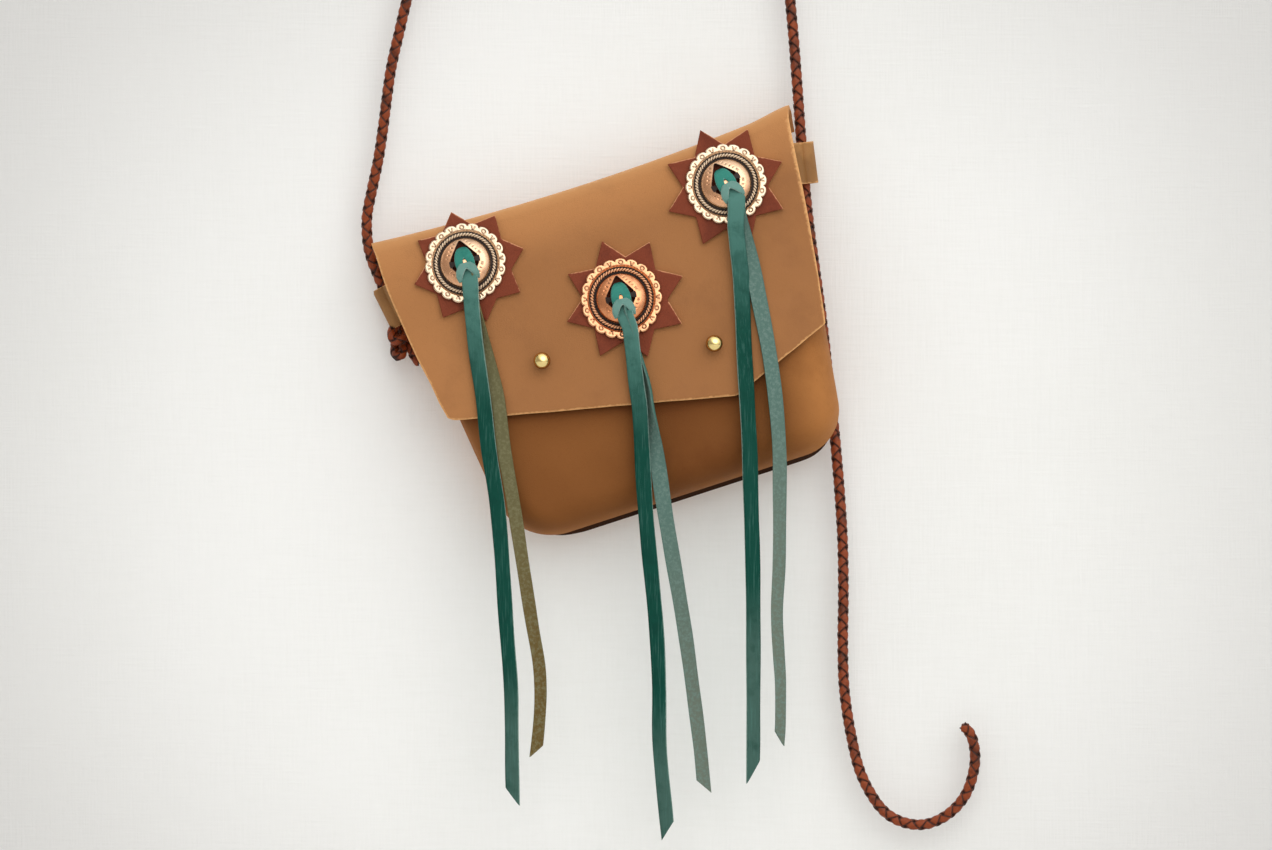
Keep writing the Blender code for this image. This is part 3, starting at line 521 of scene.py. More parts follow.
def ribbon(name: str, line: Array, sides: Array, width: Array, thick: float, cut: float = 0.0,
           cup: float = 0.0, pale: Pair = (1.0, 1.0)) -> Piece:
    """Make a flat thong along a line.

    Args:
        name: The piece's name.
        line: The points of its middle, in metres.
        sides: The direction to its right at each point.
        width: Its width at each point, in metres.
        thick: Its thickness in metres.
        cut: How far the end's right corner leads its left one, in metres.
        cup: How far its edges stand back, in metres.
        pale: How pale its left and right edges are; where they differ, the paler one is a painted highlight.

    Returns:
        The linked object.
    """
    along = unit(np.gradient(line, axis=0))
    out = unit(np.cross(along, sides))
    sides = np.cross(out, along)
    spread, lift = np.array(RIBBON_SECTION).T
    rows, count = len(line), len(spread)
    slant = np.zeros((rows, count))
    slant[-1] = cut * spread / 2
    near = min(6, rows - 1)
    for step in range(1, near):
        slant[-1 - step] = slant[-1] * (1.0 - step / near)
    points = (line[:, None] + sides[:, None] * (spread * 0.5)[None, :, None] * np.reshape(width, (-1, 1, 1))
              + out[:, None] * (lift * thick - cup * spread ** 2)[None, :, None]
              + along[:, None] * slant[:, :, None])
    faces = grid_faces(rows, count, wrap=True).tolist()
    faces.append(tuple(range(count)))
    faces.append(tuple((rows - 1) * count + index for index in reversed(range(count))))
    edge = np.where(np.abs(spread) > 0.9, np.where(spread < 0, *pale), 0.0)
    values = {"flesh": np.where(lift < 0, 1.0, 0.0), "edge": edge, "along": walk(line)[:, None]}
    values = {key: np.broadcast_to(value, (rows, count)) for key, value in values.items()}
    return make_piece(name, points, faces, values, sharp=50.0)


def plain_copy(piece: Piece) -> Piece:
    """Turn a piece with modifiers into a plain mesh.

    Args:
        piece: The piece. A curve is removed.

    Returns:
        The piece, or the mesh object that takes a curve's place.
    """
    graph = bpy.context.evaluated_depsgraph_get()
    mesh = bpy.data.meshes.new_from_object(piece.evaluated_get(graph), preserve_all_data_layers=True,
                                           depsgraph=graph)
    piece.modifiers.clear()
    if piece.type == "MESH":
        piece.data = mesh
        return piece
    name = piece.name
    bpy.data.objects.remove(piece)
    return link(name, mesh)


def cut_hole(piece: Piece, outline: Array, place: Callable[[Array, float], Array], reach: float) -> None:
    """Cut a straight hole into a piece.

    Args:
        piece: The piece to cut.
        outline: The hole's outline in a plane.
        place: Gives the points for an outline and a height off that plane.
        reach: How far the hole goes to each side, in millimetres.
    """
    count = len(outline)
    faces: Faces = [tuple(reversed(range(count))), tuple(range(count, 2 * count))]
    for index in range(count):
        after = (index + 1) % count
        faces.append((index, after, count + after, count + index))
    points = np.concatenate((place(outline, -reach), place(outline, reach)))
    cutter = make_piece(piece.name + "_cutter", points, faces)
    modifier = piece.modifiers.new("holes", "BOOLEAN")
    modifier.operation, modifier.solver, modifier.object = "DIFFERENCE", "EXACT", cutter
    plain_copy(piece)
    bpy.data.objects.remove(cutter)


# Node making


def linear(colour: Colour) -> tuple[float, ...]:
    """Return a linear colour with full alpha.

    Args:
        colour: A screen's colour code, or linear parts.

    Returns:
        Its four linear parts.
    """
    if not isinstance(colour, str):
        return (*colour, 1.0)[:4]
    parts = [int(colour[index:index + 2], 16) / 255.0 for index in (0, 2, 4)]
    return (*(part / 12.92 if part <= 0.04045 else ((part + 0.055) / 1.055) ** 2.4 for part in parts), 1.0)


class Net:
    """A node tree with short ways to add and join nodes."""

    def __init__(self, tree: Tree) -> None:
        """Keep the tree."""
        self.tree = tree

    @classmethod
    def group(cls, kind: str, name: str, takes: dict[str, object],
              gives: dict[str, str]) -> tuple["Net", dict[str, Socket], dict[str, Socket]]:
        """Start a node group.

        Args:
            kind: "Shader" or "Geometry".
            name: The group's name.
            takes: Its inputs, each as the name of a type or as a number or colour to start from.
            gives: The type of each output.

        Returns:
            The net, the sockets that the inputs feed, and the sockets that the outputs take.
        """
        net = cls(bpy.data.node_groups.new(name, f"{kind}NodeTree"))
        for key, value in takes.items():
            word = value if isinstance(value, str) else "Color" if isinstance(value, tuple) else "Float"
            socket = net.tree.interface.new_socket(key, in_out="INPUT", socket_type=f"NodeSocket{word}")
            if not isinstance(value, str):
                socket.default_value = value
        for key, word in gives.items():
            net.tree.interface.new_socket(key, in_out="OUTPUT", socket_type=f"NodeSocket{word}")
        given, made = net.add("NodeGroupInput").outputs, net.add("NodeGroupOutput").inputs
        return net, {key: given[key] for key in takes}, {key: made[key] for key in gives}

    def add(self, kind: str, values: Values | None = None, **settings: object) -> bpy.types.Node:
        """Add a node.

        Args:
            kind: The node's type.
            values: Values, or sockets to join, for its inputs.
            **settings: Its properties.

        Returns:
            The node.
        """
        node = self.tree.nodes.new(kind)
        for key, value in settings.items():
            setattr(node, key, value)
        for key, value in (values or {}).items():
            self.feed(node.inputs[key], value)
        return node

    def get(self, kind: str, values: Values | None = None, out: str | int = 0, **settings: object) -> Socket:
        """Add a node and return one of its outputs.

        Args:
            kind: The node's type, without "ShaderNode" before it unless it starts with "Geometry".
            values: Values, or sockets to join, for its inputs.
            out: The output.
            **settings: Its properties.

        Returns:
            The output's socket.
        """
        name = kind if kind.startswith("GeometryNode") else "ShaderNode" + kind
        return self.add(name, values, **settings).outputs[out]

    def feed(self, socket: Socket, value: object) -> None:
        """Join a socket to an input, or set the input's value.

        Args:
            socket: The input.
            value: A socket, a value, or a colour.
        """
        if isinstance(value, bpy.types.NodeSocket):
            self.tree.links.new(value, socket)
            return
        socket.default_value = linear(value) if socket.type == "RGBA" else value

    def math(self, operation: str, *values: object) -> Socket:
        """Return the result of a Math node."""
        return self.get("Math", dict(enumerate(values)), operation=operation)

    def times(self, *values: object) -> Socket:
        """Return the product of two values."""
        return self.math("MULTIPLY", *values)

    def plus(self, *values: object) -> Socket:
        """Return the sum of two values."""
        return self.math("ADD", *values)

    def less(self, *values: object) -> Socket:
        """Return the first value less the second."""
        return self.math("SUBTRACT", *values)

    def vector(self, operation: str, first: object, second: object, out: str | int = 0) -> Socket:
        """Return the result of a Vector Math node, whose second input is a number if it scales."""
        key = "Scale" if operation == "SCALE" else 1
        return self.get("VectorMath", {0: first, key: second}, out, operation=operation)

    def ramp(self, value: Socket, low: float | Socket, high: float, start: float = 0.0,
             end: float = 1.0) -> Socket:
        """Return a value that runs smoothly from start to end as the input runs from low to high."""
        return self.get("MapRange", {"Value": value, "From Min": low, "From Max": high, "To Min": start,
                                     "To Max": end}, interpolation_type="SMOOTHSTEP")

    def noise(self, place: Socket, scale: object, detail: float = 3.0, rough: float = 0.5) -> Socket:
        """Return the value of a Noise Texture."""
        return self.get("TexNoise", {"Vector": place, "Scale": scale, "Detail": detail, "Roughness": rough},
                        "Fac")

    def stretched(self, place: Socket, scale: Triple, detail: float = 3.0, rough: float = 0.5) -> Socket:
        """Return a noise with a scale of its own along each axis."""
        return self.noise(self.get("Mapping", {"Vector": place, "Scale": scale}), 1.0, detail, rough)

    def blend(self, part: object, first: Socket | Colour, second: Socket | Colour) -> Socket:
        """Return a mix of two colours."""
        return self.get("Mix", {0: part, 6: first, 7: second}, 2, data_type="RGBA")

    def place(self) -> Socket:
        """Return the piece's own coordinates."""
        return self.get("TexCoord", out="Object")

    def value(self, key: str) -> Socket:
        """Return a named value of the piece's surface."""
        return self.get("Attribute", out="Fac", attribute_name=key)

    def bump(self, strength: float, distance: float, height: Socket) -> Socket:
        """Return the normal of a surface with a height in metres."""
        return self.get("Bump", {"Strength": strength, "Distance": distance, "Height": height})

    def use(self, group: Tree, values: dict[str, object]) -> dict[str, Socket]:
        """Add a shader group and return its outputs by name."""
        return dict(self.add("ShaderNodeGroup", values, node_tree=group).outputs.items())

    def keep(self, geometry: Socket, values: dict[str, object], kind: str = "FLOAT") -> Socket:
        """Return a geometry whose points carry named values of a kind.

        Args:
            geometry: The geometry.
            values: The values by name.
            kind: Their data type.

        Returns:
            The geometry with its values.
        """
        for key, value in values.items():
            geometry = self.get("GeometryNodeStoreNamedAttribute",
                                {"Geometry": geometry, "Name": key, "Value": value}, data_type=kind,
                                domain="POINT")
        return geometry

    def finished(self, geometry: Socket, finish: Socket) -> Socket:
        """Return a geometry with smooth faces and its finish."""
        smoothed = self.get("GeometryNodeSetShadeSmooth", {"Geometry": geometry, "Shade Smooth": True})
        return self.get("GeometryNodeSetMaterial", {"Geometry": smoothed, "Material": finish})

    def give(self, sockets: dict[str, Socket], values: dict[str, object]) -> Tree:
        """Feed the outputs of the group and return its tree.

        Args:
            sockets: The sockets that the outputs take.
            values: What to join to them, by name.

        Returns:
            The group's tree.
        """
        for key, value in values.items():
            self.feed(sockets[key], value)
        return self.tree


class Skin(Net):
    """The net of a new material, with its Principled shader."""

    def __init__(self, name: str, shown: Colour) -> None:
        """Start the material.

        Args:
            name: The material's name.
            shown: Its colour in the viewport.
        """
        self.material = bpy.data.materials.new(name)
        self.material.use_nodes = True
        self.material.diffuse_color = linear(shown)
        super().__init__(self.material.node_tree)
        self.shader = self.tree.nodes["Principled BSDF"]

    def wear(self, values: dict[str, object]) -> Material:
        """Feed the shader's inputs and return the material.

        Args:
            values: Values, or sockets to join, by the inputs' names.

        Returns:
            The material.
        """
        for key, value in values.items():
            self.feed(self.shader.inputs[key], value)
        return self.material


class Effects:
    """The shader groups that several finishes share, each built once."""

    def __init__(self) -> None:
        """Build every group."""
        self.mottle = self._mottle()
        self.pores = self._pores()
        self.edge = self._edge()
        self.nap = self._nap()
        self.patina = self._patina()

    @staticmethod
    def _mottle() -> Tree:
        """Build the cloudy change of tone over a hide, with fine specks and rubbed, paler patches."""
        net, given, made = Net.group("Shader", "hide_mottle", {
            "Place": "Vector", "Base": (0.5, 0.5, 0.5, 1.0), "Deep": (0.2, 0.2, 0.2, 1.0),
            "Pale": (0.8, 0.8, 0.8, 1.0), "Cloud": 30.0, "Amount": 0.5}, {"Color": "Color", "Tone": "Float"})
        place, cloud, amount = given["Place"], given["Cloud"], given["Amount"]
        broad = net.noise(place, cloud, 5.0, 0.62)
        second = net.noise(net.vector("ADD", place, (3.7, 1.9, 2.3)), net.times(cloud, 4.2), 4.0, 0.6)
        speck = net.noise(place, 1400.0, 2.0, 0.6)
        deep = net.times(net.ramp(broad, 0.52, 0.30), amount)
        pale = net.times(net.ramp(second, 0.5, 0.85), net.times(amount, 0.6))
        dust = net.times(net.ramp(speck, 0.56, 0.74), net.times(amount, 0.55))
        colour = net.blend(pale, net.blend(deep, given["Base"], given["Deep"]), given["Pale"])
        return net.give(made, {"Color": net.blend(dust, colour, given["Deep"]),
                               "Tone": net.plus(net.times(broad, 0.5), net.times(second, 0.5))})

    @staticmethod
    def _pores() -> Tree:
        """Build the height of a smooth hide: pores, fine creases and a slight unevenness."""
        net, given, made = Net.group("Shader", "hide_pores", {
            "Place": "Vector", "Scale": 900.0, "Crease": 0.5}, {"Height": "Float"})
        place, scale = given["Place"], given["Scale"]
        cells = net.get("TexVoronoi", {"Vector": place, "Scale": scale}, "Distance",
                        feature="DISTANCE_TO_EDGE")
        fine = net.noise(place, net.times(scale, 1.8), 3.0, 0.6)
        slow = net.noise(place, net.times(scale, 0.16), 4.0, 0.55)
        crease = net.times(net.ramp(net.math("ABSOLUTE", net.less(slow, 0.5)), 0.0, 0.04), given["Crease"])
        height = net.plus(net.times(net.ramp(cells, 0.0, 0.25), 0.35), net.times(fine, 0.45))
        return net.give(made, {"Height": net.plus(height, net.times(crease, 0.5))})

    @staticmethod
    def _edge() -> Tree:
        """Build the mask of a cut edge, from the surface's own value, broken up by a fine noise."""
        net, given, made = Net.group("Shader", "cut_edge", {"Place": "Vector", "Near": 0.0, "Reach": 0.5},
                                     {"Mask": "Float"})
        ragged = net.times(net.less(net.noise(given["Place"], 700.0), 0.5), 0.7)
        return net.give(made, {"Mask": net.ramp(net.plus(given["Near"], ragged), given["Reach"], 1.0)})

    @staticmethod
    def _nap() -> Tree:
        """Build the fibres of a flesh side: a fuzzy height and a mask of its paler tufts."""
        net, given, made = Net.group("Shader", "flesh_nap", {"Place": "Vector", "Scale": 1200.0},
                                     {"Height": "Float", "Tuft": "Float"})
        fuzz = net.noise(given["Place"], given["Scale"], 4.0, 0.7)
        tuft = net.noise(given["Place"], net.times(given["Scale"], 0.25), 4.0, 0.7)
        return net.give(made, {"Height": net.plus(fuzz, net.times(tuft, 0.5)),
                               "Tuft": net.ramp(tuft, 0.42, 0.66)})

    @staticmethod
    def _patina() -> Tree:
        """Build the darkening of a stamped metal's hollows, and the wear that brightens what stands proud."""
        net, given, made = Net.group("Shader", "stamp_patina", {
            "Place": "Vector", "Hollow": 0.0, "Proud": 0.0}, {
            "Dark": "Float", "Bright": "Float", "Stain": "Float"})
        stain = net.noise(given["Place"], 260.0, 5.0, 0.65)
        broken = net.times(net.less(net.noise(given["Place"], 1500.0, 3.0, 0.6), 0.5), 0.5)
        return net.give(made, {"Dark": net.ramp(net.plus(given["Hollow"], broken), 0.25, 0.75),
                               "Bright": net.ramp(net.plus(given["Proud"], broken), 0.35, 0.9),
                               "Stain": net.ramp(stain, 0.48, 0.7)})


EFFECTS = Effects()


# Finishes


@dataclass(frozen=True)
class HideFinish:
    """Smooth leather with pores, cloudy tone, paler cut edges, painted shade and a painted crest highlight.
    """

    name: str
    base: str
    deep: str
    pale: str
    raw: str
    cloud: float = 28.0
    amount: float = 0.55
    roughness: float = 0.6
    bump: float = 0.25
    edge_reach: float = 0.45
    gloss: float = 0.25

    def build(self) -> Material:
        """Return the material."""
        skin = Skin(self.name, self.base)
        place = skin.place()
        tone = skin.use(EFFECTS.mottle, {
            "Place": place, "Base": self.base, "Deep": self.deep, "Pale": self.pale, "Cloud": self.cloud,
            "Amount": self.amount})
        edge = skin.use(EFFECTS.edge, {"Place": place, "Near": skin.value("edge"), "Reach": self.edge_reach})
        grain = skin.use(EFFECTS.pores, {"Place": place, "Scale": 1100.0, "Crease": 0.5})
        # Painted shade: the piece's shade value darkens the hide towards its deep colour.
        colour = skin.blend(skin.times(skin.value("shade"), 0.8), tone["Color"], self.deep)
        # Painted highlight over the fold's crest, in the raw colour.
        colour = skin.blend(skin.times(skin.value("stretch"), 0.6), colour, self.raw)
        rough = skin.ramp(tone["Tone"], 0.3, 0.7, self.roughness - 0.07, self.roughness + 0.09)
        return skin.wear({"Base Color": skin.blend(edge["Mask"], colour, self.raw),
                          "Roughness": skin.math("MAXIMUM", rough, skin.times(edge["Mask"], 0.9)),
                          "Normal": skin.bump(self.bump, 0.0004, grain["Height"]),
                          "Specular IOR Level": self.gloss})


@dataclass(frozen=True)
class ThongFinish:
    """Dyed thong: a grain face, a napped flesh side and pale cut edges; its face may be painted lighter at
    its start and end.
    """

    name: str
    grain: str
    grain_deep: str
    flesh: str
    flesh_pale: str
    raw: str
    grain_below: str | None = None
    grain_end_painted_light: str | None = None
    fade: float = 0.1
    flesh_end: str | None = None
    end: Pair = (0.18, 0.225)
    roughness: float = 0.6

    def build(self) -> Material:
        """Return the material."""
        skin = Skin(self.name, self.grain)
        place, side, along = skin.place(), skin.value("flesh"), skin.value("along")
        below = self.grain_below or self.grain
        # Painted light: the face is paler where the thong starts and towards its end, darker between.
        face = skin.blend(skin.ramp(along, 0.0, self.fade), self.grain, below)
        face = skin.blend(skin.ramp(along, *self.end), face, self.grain_end_painted_light or below)
        cloud = skin.ramp(skin.noise(place, 120.0, 4.0, 0.6), 0.45, 0.7)
        face = skin.blend(skin.times(cloud, 0.4), face, self.grain_deep)
        fibre = skin.ramp(skin.stretched(place, (1600.0, 1600.0, 70.0), 3.0, 0.6), 0.5, 0.72)
        face = skin.blend(skin.times(fibre, 0.3), face, self.grain)
        nap = skin.use(EFFECTS.nap, {"Place": place, "Scale": 2600.0})
        flesh = skin.blend(skin.ramp(along, 0.08, 0.2), self.flesh, self.flesh_end or self.flesh)
        flesh = skin.blend(skin.times(nap["Tuft"], 0.8), flesh, self.flesh_pale)
        cut = skin.use(EFFECTS.edge, {"Place": place, "Near": skin.value("edge"), "Reach": 0.55})
        pores = skin.use(EFFECTS.pores, {"Place": place, "Scale": 1500.0, "Crease": 0.3})
        height = skin.get("Mix", {0: side, 2: pores["Height"], 3: nap["Height"]}, data_type="FLOAT")
        return skin.wear({
            "Base Color": skin.blend(skin.times(cut["Mask"], 0.8), skin.blend(side, face, flesh), self.raw),
            "Roughness": skin.ramp(side, 0.0, 1.0, self.roughness, 0.92),
            "Normal": skin.bump(0.4, 0.0004, height), "Specular IOR Level": 0.1})


@dataclass(frozen=True)
class BraidFinish:
    """Narrow glossy lace of a round braid, with painted shade where it dips under and along its edges."""

    name: str
    base: str
    pale: str
    deep: str

    def build(self) -> Material:
        """Return the material."""
        skin = Skin(self.name, self.base)
        place = skin.place()
        tone = skin.use(EFFECTS.mottle, {
            "Place": place, "Base": self.base, "Deep": self.deep, "Pale": self.pale, "Cloud": 90.0,
            "Amount": 0.7})
        grain = skin.use(EFFECTS.pores, {"Place": place, "Scale": 1800.0, "Crease": 0.6})
        # Painted shade where the lace dips under, on the core and along the edges.
        dark = skin.math("MAXIMUM", skin.ramp(skin.value("lift"), 0.1, -0.9),
                         skin.ramp(skin.value("rim"), 0.6, 0.95))
        return skin.wear({"Base Color": skin.blend(skin.times(dark, 0.92), tone["Color"], self.deep),
                          "Roughness": skin.ramp(tone["Tone"], 0.3, 0.7, 0.36, 0.52),
                          "Normal": skin.bump(0.3, 0.0003, grain["Height"]), "Specular IOR Level": 0.28})


@dataclass(frozen=True)
class StampedFinish:
    """Antiqued stamped metal with dark hollows, worn bright where it stands proud."""

    name: str
    metal: str
    bright: str
    dark: str
    dome: str

    def build(self) -> Material:
        """Return the material."""
        skin = Skin(self.name, self.metal)
        place = skin.place()
        wear = skin.use(EFFECTS.patina, {"Place": place, "Hollow": skin.value("hollow"),
                                         "Proud": skin.value("proud")})
        # The dome's tone, laid on with painted shade towards its lower left.
        body = skin.blend(skin.value("dome"), self.metal, self.dome)
        body = skin.blend(skin.times(wear["Stain"], 0.3), body, self.dark)
        body = skin.blend(wear["Bright"], body, self.bright)
        bare = skin.ramp(wear["Dark"], 0.0, 1.0, 1.0, 0.25)
        return skin.wear({
            "Base Color": skin.blend(wear["Dark"], body, self.dark),
            "Roughness": skin.math("MAXIMUM", skin.ramp(wear["Stain"], 0.0, 1.0, 0.26, 0.42),
                                   skin.times(wear["Dark"], 0.7)),
            "Metallic": skin.less(bare, skin.value("frosted")),
            "Normal": skin.bump(0.15, 0.0002, skin.noise(place, 2200.0, 3.0, 0.6))})


@dataclass(frozen=True)
class PolishedFinish:
    """Polished or brushed bare metal, with a painted shadow where a piece asks for one."""

    name: str
    metal: Colour
    painted_shadow_colour: Colour
    low: float = 0.05
    high: float = 0.12

    def build(self) -> Material:
        """Return the material."""
        skin = Skin(self.name, self.metal)
        smear = skin.noise(skin.place(), 300.0, 4.0, 0.6)
        smeared = tuple(0.82 * part for part in linear(self.metal)[:3])
        bright = skin.blend(skin.ramp(smear, 0.4, 0.8), self.metal, smeared)
        # Painted shadow: the piece's own value darkens the metal.
        return skin.wear({"Base Color": skin.blend(skin.value("painted_shadow"), bright, self.painted_shadow_colour), "Metallic": 1.0,
                          "Roughness": skin.ramp(smear, 0.35, 0.7, self.low, self.high)})


@dataclass(frozen=True)
class Finishes:
    """Every finish on the bag."""

    flap: HideFinish = HideFinish("flap_tan_hide", "b87e4c", "8a5a34", "c58c58", "e2aa70", amount=0.34,
                                  gloss=0.16)
    pouch: HideFinish = HideFinish("pouch_brown_hide", "b47843", "4a1c00", "b87e48", "c28e5a", cloud=22.0,
                                   amount=0.2, roughness=0.58, gloss=0.06)
    # The welt's dark colour is a painted shadow.
    welt: HideFinish = HideFinish("welt_dark_hide", "3a200e", "241208", "4e2e16", "321c0c", roughness=0.8)
    star: HideFinish = HideFinish("star_russet_hide", "7f3d28", "60291a", "924d35", "da9a70", cloud=60.0,
                                  roughness=0.66, bump=0.4, edge_reach=0.5, gloss=0.14)
    keeper: HideFinish = HideFinish("keeper_tan_hide", "b2804c", "704c26", "ba8652", "ce9a64",
                                    edge_reach=0.75)
    # The front tails' paler start and end are painted light.
    face_lace: ThongFinish = ThongFinish("front_lace_teal", "548379", "04382e", "648276", "80988c", "84a096",
                                         "0a463a", "426259", 0.075)
    back_lace: ThongFinish = ThongFinish("back_lace_sage", "467066", "326056", "5a776e", "728a82", "547068",
                                         flesh_end="6e786b")
    olive_lace: ThongFinish = ThongFinish("back_lace_olive", "706a46", "5a5432", "6c6849", "817c5c", "605432",
                                          flesh_end="6c5832")
    collar: ThongFinish = ThongFinish("collar_grey_flesh", "70988e", "46766c", "68887e", "96a69c", "a0b6ac",
                                      roughness=0.85)
    band: ThongFinish = ThongFinish("band_teal", "3a887a", "0e5e54", "68887e", "96a69c", "70a498",
                                    roughness=0.5)
    braid: BraidFinish = BraidFinish("strap_russet_lace", "8a3c18", "be6c3c", "260f07")
    copper: StampedFinish = StampedFinish("concho_copper", "e6a478", "eeb68a", "24140e", "f4a472")
    # A paler copy of the copper: painted light for the side conchos, which reflect more.
    painted_bright_copper: StampedFinish = StampedFinish("concho_pale_copper", "e2c0a0", "e8d2b6", "2c1e18", "fabe92")
    gold: PolishedFinish = PolishedFinish("stud_gold", "ffe49a", "683e0c")
    steel: PolishedFinish = PolishedFinish("screw_steel", (0.6, 0.6, 0.6), (0.3, 0.3, 0.3), 0.25, 0.4)


# Geometry node trees


def braid_tree() -> Tree:
    """Build the tree that braids four flat laces round a path."""
    net, given, made = Net.group("Geometry", "round_braid", {
        "Path": "Geometry", "Pitch": "Float", "Core": "Float", "Weave": "Float", "Lace Width": "Float",
        "Lace Thickness": "Float", "Step": "Float", "Finish": "Material"}, {"Braid": "Geometry"})
    fine = net.get("GeometryNodeResampleCurve", {"Curve": given["Path"], "Length": given["Step"]},
                   mode="LENGTH")
    laces = net.add("GeometryNodeDuplicateElements", {"Geometry": fine, "Amount": 4}, domain="SPLINE").outputs
    index = laces["Duplicate Index"]
    hand = net.less(1.0, net.times(net.math("MODULO", index, 2.0), 2.0))
    start = net.times(net.math("FLOOR", net.times(index, 0.5)), math.pi)
    walked = net.get("GeometryNodeSplineParameter", out="Length")
    turn = net.math("DIVIDE", net.times(walked, math.tau), given["Pitch"])
    angle = net.plus(net.times(hand, turn), net.plus(start, math.pi / 4))
    normal, tangent = net.get("GeometryNodeInputNormal"), net.get("GeometryNodeInputTangent")
    across = net.vector("CROSS_PRODUCT", tangent, normal)
    radial = net.vector("ADD", net.vector("SCALE", normal, net.math("COSINE", angle)),
                        net.vector("SCALE", across, net.math("SINE", angle)))
    lift = net.times(hand, net.math("COSINE", net.times(turn, 2.0)))
    reach = net.plus(given["Core"], net.times(given["Weave"], lift))
    kept = net.keep(laces["Geometry"], {"radial": radial}, "FLOAT_VECTOR")
    kept = net.keep(kept, {"lift": lift, "reach": reach})
    outward = net.get("GeometryNodeInputNamedAttribute", {"Name": "radial"}, data_type="FLOAT_VECTOR")
    far = net.get("GeometryNodeInputNamedAttribute", {"Name": "reach"}, data_type="FLOAT")
    moved = net.get("GeometryNodeSetPosition", {
        "Geometry": kept, "Offset": net.vector("SCALE", outward, far)})
    turned = net.get("GeometryNodeSetCurveNormal", {"Curve": moved, "Normal": outward}, mode="FREE")
    ring = net.get("GeometryNodeCurvePrimitiveCircle", {"Resolution": 10, "Radius": 1.0})
    side = net.get("SeparateXYZ", {"Vector": net.get("GeometryNodeInputPosition")}, "Y")
    size = net.get("CombineXYZ", {"X": net.times(given["Lace Thickness"], 0.5),
                                  "Y": net.times(given["Lace Width"], 0.5), "Z": 1.0})
    ring = net.get("GeometryNodeTransform", {"Geometry": net.keep(ring, {"rim": net.math("ABSOLUTE", side)}),
                                             "Scale": size})
    heart = net.get("GeometryNodeCurvePrimitiveCircle", {"Resolution": 8, "Radius": given["Core"]})
    both = net.add("GeometryNodeJoinGeometry")
    # The core's lift of -1 makes its finish paint it in shade.
    for curve, profile, deep in ((turned, ring, None), (fine, heart, -1.0)):
        tube = net.get("GeometryNodeCurveToMesh", {
            "Curve": curve, "Profile Curve": profile, "Fill Caps": True})
        net.feed(both.inputs[0], tube if deep is None else net.keep(tube, {"lift": deep}))
    real = net.get("GeometryNodeRealizeInstances", {"Geometry": both.outputs[0]})
    return net.give(made, {"Braid": net.finished(real, given["Finish"])})


def rope_tree() -> Tree:
    """Build the tree that sets leaning beads round a ring, as on a twisted rope border."""
    net, given, made = Net.group("Geometry", "rope_border", {
        "Geometry": "Geometry", "Beads": "Int", "Radius": "Float", "Length": "Float", "Width": "Float",
        "Height": "Float", "Lean": "Float", "Finish": "Material"}, {"Rope": "Geometry"})
    ring = net.get("GeometryNodeMeshCircle", {"Vertices": given["Beads"], "Radius": given["Radius"]})
    ball = net.get("GeometryNodeMeshUVSphere", {"Segments": 10, "Rings": 6, "Radius": 0.5})
    size = net.get("CombineXYZ", {"X": given["Width"], "Y": given["Length"], "Z": given["Height"]})
    bead = net.get("GeometryNodeTransform", {"Geometry": ball, "Scale": size})
    angle = net.math("DIVIDE", net.times(net.get("GeometryNodeInputIndex"), math.tau), given["Beads"])
    spin = net.get("CombineXYZ", {"Z": net.plus(angle, given["Lean"])})
    placed = net.get("GeometryNodeInstanceOnPoints", {"Points": ring, "Instance": bead, "Rotation": spin})
    real = net.get("GeometryNodeRealizeInstances", {"Geometry": placed})
    beads = net.keep(real, {"proud": 1.0, "frosted": 0.65})
    return net.give(made, {"Rope": net.finished(beads, given["Finish"])})


def grow(piece: Piece, tree: Tree, values: dict[str, object]) -> Piece:
    """Run a tree on a piece.

    Args:
        piece: The piece that the tree starts from.
        tree: The tree.
        values: Its inputs by name.

    Returns:
        The plain mesh that it makes.
    """
    modifier = piece.modifiers.new(tree.name, "NODES")
    modifier.node_group = tree
    for item in tree.interface.items_tree:
        if item.in_out == "INPUT" and item.name in values:
            modifier[item.identifier] = values[item.name]
    return plain_copy(piece)


# Strap


